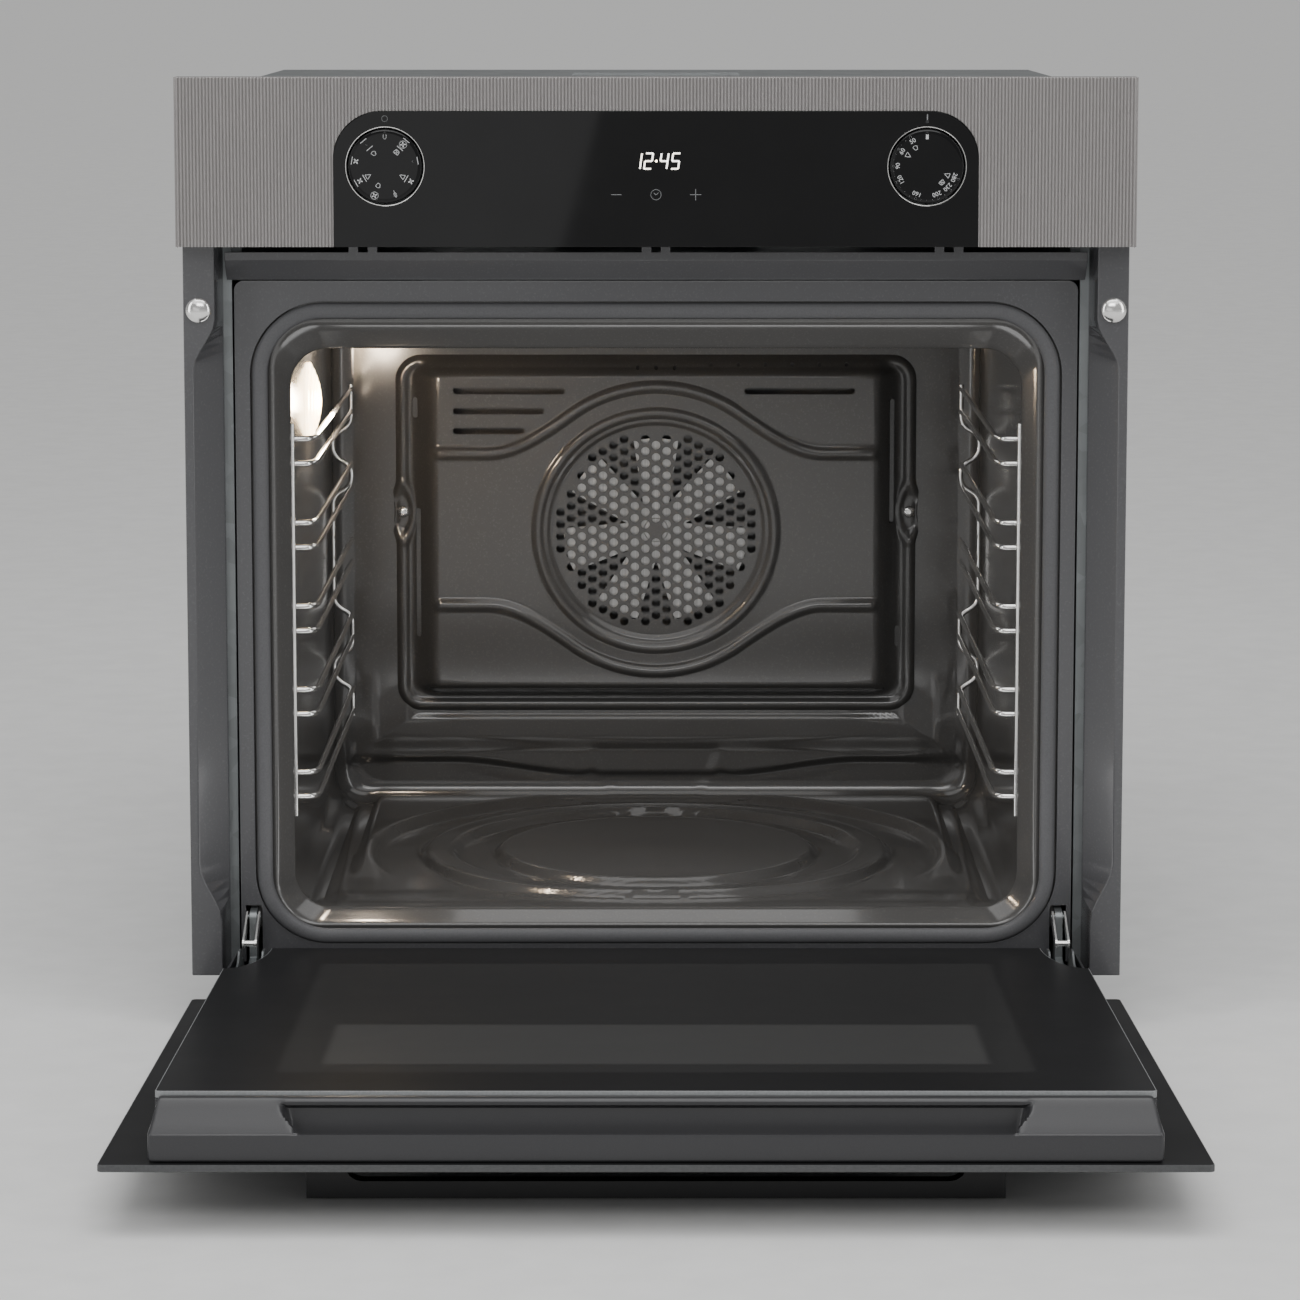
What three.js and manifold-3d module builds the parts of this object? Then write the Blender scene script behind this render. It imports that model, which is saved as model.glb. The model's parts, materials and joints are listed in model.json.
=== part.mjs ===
// A built-in wall oven, 60 cm class: housing, enamelled cavity, drop-down door, knobs and fans.
// Millimetres, +Z up, +X to the user's right, +Y into the oven.
// Inside this file y = 0 is the front face of the cabinet. The finished group is shifted
// so that its origin is the centre of the base plate's underside.
import * as THREE from "three";
import { mergeVertices } from "three/addons/utils/BufferGeometryUtils.js";
import Module from "manifold-3d";

const wasm = await Module();
wasm.setup();

// ---- Driving dimensions ----
const GAP = 0.3; // left between pieces that touch
const SHEET = 1.2; // sheet steel

const HOUSING = { half: 277, front: 24, back: 545, top: 582 };
const BASE_MID_Y = (HOUSING.front + HOUSING.back) / 2;

const FASCIA = { half: 298.5, bottom: 487, top: 592, front: -22, wall: 1.4 };
const INSERT = { half: 200, top: 571, radius: 30, thick: 3.4 };
const KNOB = { x: 168, z: 537, radius: 23.1, rim: 24.6, travel: 18, bore: 3.5, shaft: 3 };

const PILLAR = { outer: 296.5, wide: 277, narrow: 291, inner: 273.5, bottom: 20, top: 486.6, face: -1.6 };
const PLUG = { x: 287, z: 446, radius: 8 };

const FRAME = { half: 266.7, bottom: 24, top: 463, front: 20, rim: 11, hole: 257 };
const SLOT = { inner: 253.2, outer: 263.6, bottom: 20, top: 61 };

const CAVITY = { half: 235, floor: 50, ceiling: 424, back: 433, radius: 22 };
const MOUTH = { half: 233, floor: 55.5, ceiling: 418.5, radius: 24, y: 39 };
const CREST = { half: 243.4, floor: 47.7, ceiling: 438, radius: 27, y: 22 };
const FLANGE = { half: 262, floor: 31, ceiling: 456, radius: 38, y: 25 };

const BAFFLE = {
  half: 191, bottom: 116.5, top: 381.5, panelHalf: 158, panelBottom: 141, panelTop: 365,
  front: 412, fanZ: 253, disc: 73, pitch: 16.4, hole: 5.6,
};
const FAN = { radius: 69, blades: 7, front: 416.5, back: 429.4, shaft: 3.5 };

const RACK = {
  x: 218.7, waist: 232, frontX: 230, frontY: 44, rearY: 380, wire: 1.9,
  levels: [143, 197, 251.3, 305.5, 359.8], drop: 16,
};
const LAMP = { y: 205, z: 368, cup: 23, lens: 27 };

const HINGE = { y: -1.3, z: 18.6, openDegrees: 87.05, pin: 4 };
const LINK = { y: 15.5, z: 54.4, length: 30, slope: 21.5, eye: 4, pin: 2 };

// The door's own frame: x across, y through its thickness, z from the hinge to the free edge.
const DOOR = { half: 298.5, outside: -20.7, bottom: -15.2, top: 465.4, glass: 4 };
const INNER_GLASS = { half: 270, inside: 18.3, bottom: -4.4, top: 441.2, notchX: 24, notchZ: 73 };
const CAP = { half: 272, foot: 441.6, top: 460.2, fold: -1.5, lip: 16.5 };
const DOOR_SIDE = { outer: 269.7, inner: 246, low: -16.4, high: 14, bottom: -10, top: 441.2 };
const HANDLE = { half: 193, post: 21, low: 375, high: 387, outside: -52.9, inside: -43.4 };

const PAINT = {
  enamel: { color: 0x47474a, roughness: 0.3, metalness: 0.1 },
  greySteel: { color: 0x8a8886, roughness: 0.42, metalness: 0.7 },
  zinc: { color: 0xa9adb0, roughness: 0.5, metalness: 0.8 },
  chrome: { color: 0xd5d7d8, roughness: 0.14, metalness: 1 },
  blackGlass: { color: 0x17171a, roughness: 0.08, metalness: 0 },
  smokedGlass: { color: 0x2a2a2c, roughness: 0.06, metalness: 0 },
  coatedAluminium: { color: 0x55555a, roughness: 0.45, metalness: 0.3 },
  blackCoat: { color: 0x1b1b1c, roughness: 0.5, metalness: 0.2 },
  silicone: { color: 0x4a4a4b, roughness: 0.7, metalness: 0 },
  heater: { color: 0x5b5450, roughness: 0.55, metalness: 0.6 },
  plastic: { color: 0x2c2c2e, roughness: 0.6, metalness: 0 },
  board: { color: 0x1f5a38, roughness: 0.6, metalness: 0 },
  wool: { color: 0xc9bd97, roughness: 1, metalness: 0 },
  lampGlass: { color: 0xf3e9cf, roughness: 0.1, metalness: 0 },
};

// ---- Solids ----
const toManifold = (geometry) => {
  const plain = geometry.index ? geometry.toNonIndexed() : geometry.clone();
  plain.deleteAttribute("normal");
  plain.deleteAttribute("uv");
  const merged = mergeVertices(plain, 1e-4);
  const vertProperties = new Float32Array(merged.attributes.position.array);
  const triVerts = new Uint32Array(merged.index.array);
  return new wasm.Manifold(new wasm.Mesh({ numProp: 3, vertProperties, triVerts }));
};

const toGeometry = (manifold) => {
  const mesh = manifold.getMesh();
  const geometry = new THREE.BufferGeometry();
  geometry.setAttribute("position", new THREE.BufferAttribute(mesh.vertProperties, 3));
  geometry.setIndex(new THREE.BufferAttribute(mesh.triVerts, 1));
  geometry.computeVertexNormals();
  return geometry;
};

const join = (...pieces) => {
  const [first, ...rest] = pieces.map(toManifold);
  return toGeometry(rest.reduce((whole, piece) => whole.add(piece), first));
};

const cut = (body, ...tools) => {
  const whole = tools.map(toManifold).reduce((rest, tool) => rest.subtract(tool), toManifold(body));
  return toGeometry(whole);
};

const block = (x0, x1, y0, y1, z0, z1) =>
  new THREE.BoxGeometry(x1 - x0, y1 - y0, z1 - z0).translate((x0 + x1) / 2, (y0 + y1) / 2, (z0 + z1) / 2);

// A round bar along "x", "y" or "z" between two places on that axis.
const bar = (axis, from, to, a, b, radius, sides = 16) => {
  const mid = (from + to) / 2;
  const geometry = new THREE.CylinderGeometry(radius, radius, to - from, sides);
  if (axis === "x") return geometry.rotateZ(Math.PI / 2).translate(mid, a, b);
  if (axis === "y") return geometry.translate(a, mid, b);
  return geometry.rotateX(Math.PI / 2).translate(a, b, mid);
};

// An outline of [a, b] points pushed along X (outline in Y, Z) or along Y (outline in X, Z).
const prismX = (outline, x0, x1) => {
  const shape = new THREE.Shape(outline.map(([y, z]) => new THREE.Vector2(y, z)));
  const turn = new THREE.Matrix4().set(0, 0, 1, x0, 1, 0, 0, 0, 0, 1, 0, 0, 0, 0, 0, 1);
  return new THREE.ExtrudeGeometry(shape, { depth: x1 - x0, bevelEnabled: false }).applyMatrix4(turn);
};
const prismY = (outline, y0, y1) => {
  const shape = new THREE.Shape(outline.map(([x, z]) => new THREE.Vector2(x, z)));
  const turn = new THREE.Matrix4().set(1, 0, 0, 0, 0, 0, -1, y1, 0, 1, 0, 0, 0, 0, 0, 1);
  return new THREE.ExtrudeGeometry(shape, { depth: y1 - y0, bevelEnabled: false }).applyMatrix4(turn);
};

// A closed profile of [radius, height] points turned about the Y axis, faces out whichever way it runs.
const turned = (profile, sides) => {
  const points = profile.map(([r, h]) => new THREE.Vector2(r, h));
  if (THREE.ShapeUtils.area(points) < 0) points.reverse();
  return new THREE.LatheGeometry(points, sides);
};

const mirrored = (geometry) => {
  const twin = (geometry.index ? geometry.toNonIndexed() : geometry.clone()).scale(-1, 1, 1);
  const place = twin.attributes.position;
  const swap = new THREE.Vector3();
  const other = new THREE.Vector3();
  for (let i = 0; i < place.count; i += 3) {
    swap.fromBufferAttribute(place, i + 1);
    other.fromBufferAttribute(place, i + 2);
    place.setXYZ(i + 1, other.x, other.y, other.z);
    place.setXYZ(i + 2, swap.x, swap.y, swap.z);
  }
  twin.computeVertexNormals();
  return twin;
};

// Corner points of a rounded rectangle in X and Z, anticlockwise seen from the front.
const roundedRing = ({ half, floor, ceiling, radius }, steps = 4) => {
  const points = [];
  const corners = [[1, -1, -90], [1, 1, 0], [-1, 1, 90], [-1, -1, 180]];
  for (const [sx, sz, start] of corners) {
    const cx = sx * (half - radius);
    const cz = sz > 0 ? ceiling - radius : floor + radius;
    for (let i = 0; i <= steps; i += 1) {
      const angle = THREE.MathUtils.degToRad(start + (90 * i) / steps);
      points.push([cx + radius * Math.cos(angle), cz + radius * Math.sin(angle)]);
    }
  }
  return points;
};
const ringAt = (size, y) => roundedRing(size).map(([x, z]) => new THREE.Vector3(x, y, z));
const grown = (size, by) => ({
  half: size.half + by, floor: size.floor - by, ceiling: size.ceiling + by, radius: size.radius + by,
});

// The two axes in which a flat ring spreads, as 2-D points.
const flattened = (ring) => {
  const size = new THREE.Box3().setFromPoints(ring).getSize(new THREE.Vector3());
  const [a, b] = ["x", "y", "z"].sort((p, q) => size[q] - size[p]);
  return ring.map((point) => new THREE.Vector2(point[a], point[b]));
};
// Triangles that fill a ring, turned the way that the ring runs.
const capFaces = (ring) => {
  const flat = flattened(ring);
  const runs = Math.sign(THREE.ShapeUtils.area(flat));
  return THREE.ShapeUtils.triangulateShape(flat, []).map(([i, j, k]) => {
    const turns = Math.sign(THREE.ShapeUtils.area([flat[i], flat[j], flat[k]]));
    return turns === runs ? [i, j, k] : [k, j, i];
  });
};

// Skins rings of equal length into one solid. An open stack is capped at both ends, and a closed one
// runs round to its first ring again.
const loft = (rings, closed = false) => {
  const count = rings[0].length;
  const faces = [];
  const pairs = closed ? rings.length : rings.length - 1;
  for (let r = 0; r < pairs; r += 1) {
    const next = (r + 1) % rings.length;
    for (let i = 0; i < count; i += 1) {
      const j = (i + 1) % count;
      const [a, b, c, d] = [r * count + i, r * count + j, next * count + j, next * count + i];
      faces.push([a, b, c], [a, c, d]);
    }
  }
  if (!closed) {
    const last = (rings.length - 1) * count;
    faces.push(...capFaces(rings[0]).map(([i, j, k]) => [k, j, i]));
    faces.push(...capFaces(rings[rings.length - 1]).map((face) => face.map((i) => last + i)));
  }
  const geometry = new THREE.BufferGeometry().setFromPoints(rings.flat());
  geometry.setIndex(faces.flat());
  if (signedVolume(geometry) < 0) geometry.setIndex(faces.map(([i, j, k]) => [i, k, j]).flat());
  geometry.computeVertexNormals();
  return geometry;
};

const signedVolume = (geometry) => {
  const place = geometry.attributes.position;
  const corner = [0, 1, 2].map(() => new THREE.Vector3());
  let total = 0;
  for (let i = 0; i < geometry.index.count; i += 3) {
    corner.forEach((point, k) => point.fromBufferAttribute(place, geometry.index.getX(i + k)));
    total += corner[0].dot(corner[1].clone().cross(corner[2])) / 6;
  }
  return total;
};

// A route through given points, with the section square to the mean direction at each one.
class Route extends THREE.Curve {
  constructor(points) {
    super();
    this.points = points;
  }
  getPoint(t, target = new THREE.Vector3()) {
    const place = Math.min(Math.max(t, 0), 1) * (this.points.length - 1);
    const start = Math.min(Math.floor(place), this.points.length - 2);
    return target.lerpVectors(this.points[start], this.points[start + 1], place - start);
  }
  getPointAt(t, target) {
    return this.getPoint(t, target);
  }
  getTangentAt(t, target) {
    return this.getTangent(t, target);
  }
}
const wire = (points, radius, sides = 6) => {
  const section = new THREE.Shape();
  for (let i = 0; i < sides; i += 1) {
    const angle = (2 * Math.PI * (i + 0.5)) / sides;
    section.lineTo(radius * Math.cos(angle), radius * Math.sin(angle));
  }
  section.curves.shift();
  const route = new Route(points.map(([x, y, z]) => new THREE.Vector3(x, y, z)));
  return new THREE.ExtrudeGeometry(section, { steps: points.length - 1, extrudePath: route });
};

// ---- The group and its nodes ----
const oven = new THREE.Group();
const body = new THREE.Group();
const door = new THREE.Group();
body.position.y = -BASE_MID_Y;
oven.add(body);
body.add(door);
door.position.set(0, HINGE.y, HINGE.z);
door.rotation.x = THREE.MathUtils.degToRad(HINGE.openDegrees);

const piece = (name, geometry, paint, parent = body) => {
  const mesh = new THREE.Mesh(geometry, new THREE.MeshStandardMaterial(PAINT[paint]));
  mesh.name = name;
  parent.add(mesh);
};
const pair = (name, rightGeometry, paint, parent = body) => {
  piece(`${name}_right`, rightGeometry, paint, parent);
  piece(`${name}_left`, mirrored(rightGeometry), paint, parent);
};

// ---- Housing sheets ----
const makeHousing = () => {
  const { half, front, back, top } = HOUSING;
  const lip = 12;
  const base = join(
    block(-half, half, front, back, 0, SHEET),
    block(-half, -half + SHEET, front, back, 0, lip),
    block(half - SHEET, half, front, back, 0, lip),
  );
  piece("base_plate", base, "zinc");

  const wallIn = half + GAP;
  const side = join(
    block(wallIn, wallIn + SHEET, front, back, 0, top - GAP),
    block(268, wallIn + SHEET, front, front + SHEET, lip + 3, 486),
  );
  pair("side_panel", side, "zinc");

  const slots = [];
  for (let i = 0; i < 7; i += 1) {
    for (const x of [-170, 60]) {
      slots.push(block(x, x + 90, back - 5, back + 5, 505 + i * 9, 509 + i * 9));
    }
  }
  const gland = bar("y", back - 5, back + 5, 225, 480, 9.5, 20);
  const rear = block(-half, half, back + GAP, back + GAP + SHEET, SHEET + GAP, top - GAP);
  piece("back_panel", cut(rear, ...slots, gland), "zinc");

  const lid = block(-half - SHEET, half + SHEET, front, back, top, top + SHEET);
  const inlets = [];
  for (let i = 0; i < 6; i += 1) {
    inlets.push(block(-60, 60, 380 + i * 14, 386 + i * 14, top - 5, top + 5));
  }
  piece("top_cover", cut(lid, ...inlets), "zinc");
};

// ---- Pillars that bear on the cabinet ----
const pillarEdge = (z) => {
  const { smoothstep } = THREE.MathUtils;
  const narrowing = smoothstep(z, 55, 92) * (1 - smoothstep(z, 408, 440));
  return PILLAR.wide + (PILLAR.narrow - PILLAR.wide) * narrowing;
};
const pillarSection = (z) => {
  const edge = pillarEdge(z);
  const { outer, inner, face } = PILLAR;
  const outline = [
    [outer, 0], [outer, face], [edge, face], [inner, 17],
    [inner, 22.5], [inner + 1.4, 22.5], [inner + 1.4, 17.4], [edge + 1.2, 0],
  ];
  return outline.map(([x, y]) => new THREE.Vector3(x, y, z));
};
const makePillars = () => {
  const heights = [PILLAR.bottom];
  for (let i = 0; i <= 6; i += 1) heights.push(55 + (37 * i) / 6);
  for (let i = 0; i <= 6; i += 1) heights.push(408 + (32 * i) / 6);
  heights.push(PILLAR.top);
  const hole = bar("y", -5, 5, PLUG.x, PLUG.z, 3.3, 12);
  pair("pillar", cut(loft(heights.map(pillarSection)), hole), "enamel");

  const dome = [[0, 0], [3, 0], [3, 1.9]];
  const crown = 4;
  for (let i = 0; i <= crown; i += 1) {
    const angle = (Math.PI / 2) * (i / crown);
    dome.push([PLUG.radius * Math.cos(angle), 1.9 + 3.6 * Math.sin(angle)]);
  }
  dome[dome.length - 1][0] = 0;
  const plug = turned(dome, 14).rotateX(Math.PI).translate(PLUG.x, 0, PLUG.z);
  pair("pillar_plug", plug, "chrome");
};

// ---- Enamelled front and cavity ----
const makeFront = () => {
  const { half, bottom, top, front, rim, hole } = FRAME;
  const back = front + SHEET;
  const outline = { half, floor: bottom, ceiling: top, radius: 6 };
  const skirt = loft(
    [grown(outline, 0), grown(outline, -SHEET)].flatMap((size, i) => {
      const [a, b] = i === 0 ? [front, front + rim] : [front + rim, front];
      return [ringAt(size, a), ringAt(size, b)];
    }),
    true,
  );
  const face = prismY(roundedRing(outline), front, back);
  const mouth = prismY(roundedRing({ half: hole, floor: 36, ceiling: 450, radius: 47 }), front - 1, back + 1);
  const slots = [-1, 1].map((side) => {
    const [x0, x1] = [side * SLOT.inner, side * SLOT.outer].sort((a, b) => a - b);
    return block(x0, x1, front - 1, front + rim + 1, SLOT.bottom, SLOT.top);
  });
  piece("front_frame", cut(join(face, skirt), mouth, ...slots), "enamel");

  // The gasket sits on the liner's flange, just outside the crest round the mouth.
  const gasket = [[-4.8, 21.7], [-4.8, 19.6], [-2.4, 17.8], [2.4, 17.8], [4.8, 19.6], [4.8, 21.7]];
  const centreLine = { half: 250.8, floor: 41, ceiling: 444, radius: 40 };
  piece("door_seal", loft(gasket.map(([out, y]) => ringAt(grown(centreLine, out), y)), true), "silicone");

  const wall = 1.2;
  const shell = loft([
    ringAt(CAVITY, CAVITY.back),
    ringAt(CAVITY, 52),
    ringAt(MOUTH, MOUTH.y),
    ringAt(CREST, CREST.y),
    ringAt(FLANGE, FLANGE.y),
    ringAt(FLANGE, FLANGE.y + wall),
    ringAt(grown(CREST, 2.2), FLANGE.y + wall),
    ringAt(grown(MOUTH, 1.4), MOUTH.y + 2),
    ringAt(grown(CAVITY, wall), 52 + wall),
    ringAt(grown(CAVITY, wall), CAVITY.back + wall),
  ]);
  const y0 = CAVITY.back - 5;
  const y1 = CAVITY.back + 5;
  const holes = [
    bar("y", y0, y1, 0, BAFFLE.fanZ, 6),
    ...RING_LEGS.map(([x, z]) => bar("y", y0, y1, x, z, 4.2, 10)),
    ...GRILL_LEGS.map((x) => bar("y", y0, y1, x, GRILL_Z, 4.2, 10)),
    bar("y", y0, y1, PROBE.x, PROBE.z, 4, 10),
    ...[-1, 1].map((side) => bar("y", y0, y1, side * BAFFLE_SCREW.x, BAFFLE_SCREW.z, 2.6, 10)),
    bar("x", -CAVITY.half - 5, -CAVITY.half + 5, LAMP.y, LAMP.z, LAMP.cup + 1, 24),
  ];
  const hingeRoom = block(SLOT.inner - 0.6, FLANGE.half + 1, FLANGE.y - 3, FLANGE.y + 5, 25, SLOT.top + 6);
  piece("cavity_liner", cut(shell, ...holes, hingeRoom, mirrored(hingeRoom)), "enamel");

  const outlet = [[20, 463.6], [6.5, 477], [6.5, 482], [7.7, 482], [7.7, 477.5], [21, 464.4]];
  const tabs = [-184, 0, 184].flatMap((x) =>
    [x - 9, x + 3].map((start) => block(start, start + 6, 6.5, 7.7, 481, 485.6)));
  piece("air_outlet", join(prismX(outlet, -271, 271), ...tabs), "enamel");
};

const GRILL_Z = 416;
const GRILL_LEGS = [-24, 24];
const RING_ELEMENT = { radius: 91, tube: 3.2, y: 423 };
const RING_LEG_ANGLES = [82, 98];
const onRing = (degrees) => {
  const angle = THREE.MathUtils.degToRad(degrees);
  return [RING_ELEMENT.radius * Math.cos(angle), BAFFLE.fanZ + RING_ELEMENT.radius * Math.sin(angle)];
};
const RING_LEGS = RING_LEG_ANGLES.map(onRing);
const PROBE = { x: 150, z: 400 };
const BAFFLE_SCREW = { x: 184.5, z: 265 };

// ---- Fan cover on the cavity's back wall ----
const makeBaffle = () => {
  const pan = { half: BAFFLE.half, floor: BAFFLE.bottom, ceiling: BAFFLE.top, radius: 20 };
  const foot = { half: 178, floor: 129, ceiling: 378, radius: 15 };
  const panel = { half: BAFFLE.panelHalf, floor: BAFFLE.panelBottom, ceiling: BAFFLE.panelTop, radius: 12 };
  const shell = loft([
    ringAt(panel, BAFFLE.front),
    ringAt(foot, 429),
    ringAt(pan, 431),
    ringAt(pan, 432.4),
    ringAt(grown(foot, 1), 432.4),
    ringAt(grown(panel, -1), BAFFLE.front + SHEET),
  ]);
  const { pitch, hole, disc, fanZ, front } = BAFFLE;
  const holes = [];
  const rowHeight = (pitch * Math.sqrt(3)) / 2;
  for (let row = -4; row <= 4; row += 1) {
    for (let column = -5; column <= 5; column += 1) {
      const x = (column + (row % 2 ? 0.5 : 0)) * pitch;
      const z = row * rowHeight;
      const inside = Math.hypot(x, z) < disc - hole;
      if (inside) holes.push(bar("y", front - 2, front + 3, x, fanZ + z, hole, 6));
    }
  }
  const slots = [[-148, 81, 353], [-148, 66, 338.5], [-148, 52, 324], [60, 80, 353]];
  for (const [x, length, z] of slots) {
    holes.push(block(x, x + length, front - 2, front + 3, z - 2, z + 2));
  }
  const { x: screwX, z: screwZ } = BAFFLE_SCREW;
  for (const side of [-1, 1]) holes.push(bar("y", 425, 440, side * screwX, screwZ, 2.6, 10));
  piece("fan_baffle", cut(shell, ...holes), "enamel");

  const shank = bar("y", 425.5, 435.5, screwX, screwZ, 2, 10);
  const head = bar("y", 425.2, 428.9, screwX, screwZ, 4.4, 6);
  pair("baffle_screw", join(shank, head), "chrome");
};

// ---- Heaters, lamp and probe ----
const makeHeaters = () => {
  const { radius, tube, y } = RING_ELEMENT;
  const [from, to] = RING_LEG_ANGLES;
  const turn = 360 - (to - from);
  const arc = [];
  const steps = 32;
  for (let i = 0; i <= steps; i += 1) {
    const angle = THREE.MathUtils.degToRad(to + (turn * i) / steps);
    arc.push([radius * Math.cos(angle), y, BAFFLE.fanZ + radius * Math.sin(angle)]);
  }
  const [right, left] = RING_LEGS;
  const ring = [[left[0], 462, left[1]], ...arc, [right[0], 462, right[1]]];
  piece("circular_element", wire(ring, tube, 8), "heater");

  const grill = [[-24, 462], [-24, 400], [-190, 380], [-205, 365], [-205, 120], [-190, 105], [-150, 105],
    [-135, 120], [-135, 330], [-120, 345], [-85, 345], [-70, 330], [-70, 120], [-55, 105], [55, 105]];
  const half = grill.filter(([x]) => x < 0).map(([x, gy]) => [-x, gy]).reverse();
  const loop = [...grill.slice(0, -1), ...half].map(([x, gy]) => [x, gy, GRILL_Z]);
  piece("grill_element", wire(loop, 3.2, 8), "heater");

  const under = [[-20, 462], [-20, 400], [-150, 385], [-170, 360], [-170, 120], [-150, 98]];
  const back = under.map(([x, gy]) => [-x, gy]).reverse();
  const bottomLoop = [...under, ...back].map(([x, gy]) => [x, gy, 41.4]);
  piece("bottom_element", wire(bottomLoop, 3.2, 8), "heater");

  piece("temperature_probe", bar("y", 300, 452, PROBE.x, PROBE.z, 3, 10), "chrome");
};

const makeLamp = () => {
  const wallX = -CAVITY.half;
  const place = (profile, x) => turned(profile, 18).rotateZ(-Math.PI / 2).translate(x, LAMP.y, LAMP.z);
  const cup = [[0, -26], [LAMP.cup, -26], [LAMP.cup, -2.4], [LAMP.cup - 2, -2.4], [LAMP.cup - 2, -24], [0, -24]];
  piece("lamp_housing", place(cup, wallX), "zinc");
  const lens = [[0, 9], [11, 8.2], [20, 5.6], [26, 1.6], [27, GAP], [23, GAP], [18.5, 2.6], [10, 5], [0, 5.8]];
  piece("lamp_lens", place(lens, wallX), "lampGlass");
  const bulb = [[0, -23], [6, -23], [6, -13], [4.5, -11], [4.5, 0], [3, 2.4], [0, 3.2]];
  piece("lamp_bulb", place(bulb, wallX), "lampGlass");
};

// ---- Side racks, bent from wire ----
const makeRacks = () => {
  const { x, waist, frontX, frontY, rearY, wire: r, levels, drop } = RACK;
  const top = levels[levels.length - 1];
  const bottom = levels[0] - drop;
  const wires = [wire([[frontX, frontY, bottom - 12], [frontX, frontY, top + 10]], r)];

  // The rear upright steps out to the wall between runner groups.
  const waists = [[150, 172], [204, 290], [312, 334]];
  const upright = [[x, rearY, bottom - 4]];
  for (const [low, high] of waists) {
    upright.push([x, rearY, low - 8], [waist, rearY, low], [waist, rearY, high - 8], [x, rearY, high]);
  }
  upright.push([x, rearY, top + 2]);
  wires.push(wire(upright, r));

  for (const z of levels) {
    for (const height of [z, z - drop]) {
      const route = [[frontX, frontY, height], [frontX, frontY + 4, height], [x, frontY + 16, height],
        [x, rearY, height]];
      wires.push(wire(route, r));
    }
  }
  pair("rack", join(...wires), "chrome");
};

// ---- Convection fan ----
const makeFan = () => {
  const { radius, blades, front, back, shaft } = FAN;
  const z = BAFFLE.fanZ;
  const parts = [
    bar("y", back - 1, back, 0, z, radius, 32),
    bar("y", front, back, 0, z, 9, 12),
    bar("y", back - 0.5, 476, 0, z, shaft, 12),
  ];
  for (let i = 0; i < blades; i += 1) {
    const blade = block(20, radius - 1, front, back - 0.4, -0.7, 0.7);
    parts.push(blade.rotateY((2 * Math.PI * i) / blades - Math.PI / 2).translate(0, 0, z));
  }
  piece("fan_impeller", join(...parts), "zinc");

  const bore = bar("y", 440, 482, 0, z, shaft + 0.7, 12);
  const motor = join(
    bar("y", 470, 500, 0, z, 38, 24),
    block(-30, 30, 462, 492, z - 42, z + 42),
    block(-70, 70, 458, 461, z - 8, z + 8),
    bar("y", 457, 464, 0, z, 14, 16),
  );
  piece("fan_motor", cut(motor, bore), "zinc");
};

// ---- Insulation round the liner ----
const makeInsulation = () => {
  const inner = { half: 237.6, floor: 34, ceiling: 427, radius: 22 };
  const outer = { half: 257, floor: 16, ceiling: 446, radius: 30 };
  const blanket = loft([ringAt(inner, 436), ringAt(inner, 62), ringAt(outer, 62), ringAt(outer, 452)]);
  const through = (x, z, radius) => bar("y", 430, 460, x, z, radius, 12);
  const holes = [
    through(0, BAFFLE.fanZ, 16),
    ...RING_LEGS.map(([x, z]) => through(x, z, 6)),
    ...GRILL_LEGS.map((x) => through(x, GRILL_Z, 6)),
    through(-20, 41.4, 6),
    through(20, 41.4, 6),
    through(PROBE.x, PROBE.z, 6),
    bar("x", -270, -230, LAMP.y, LAMP.z, LAMP.cup + 3, 24),
  ];
  piece("insulation_blanket", cut(blanket, ...holes), "wool");
};

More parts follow.
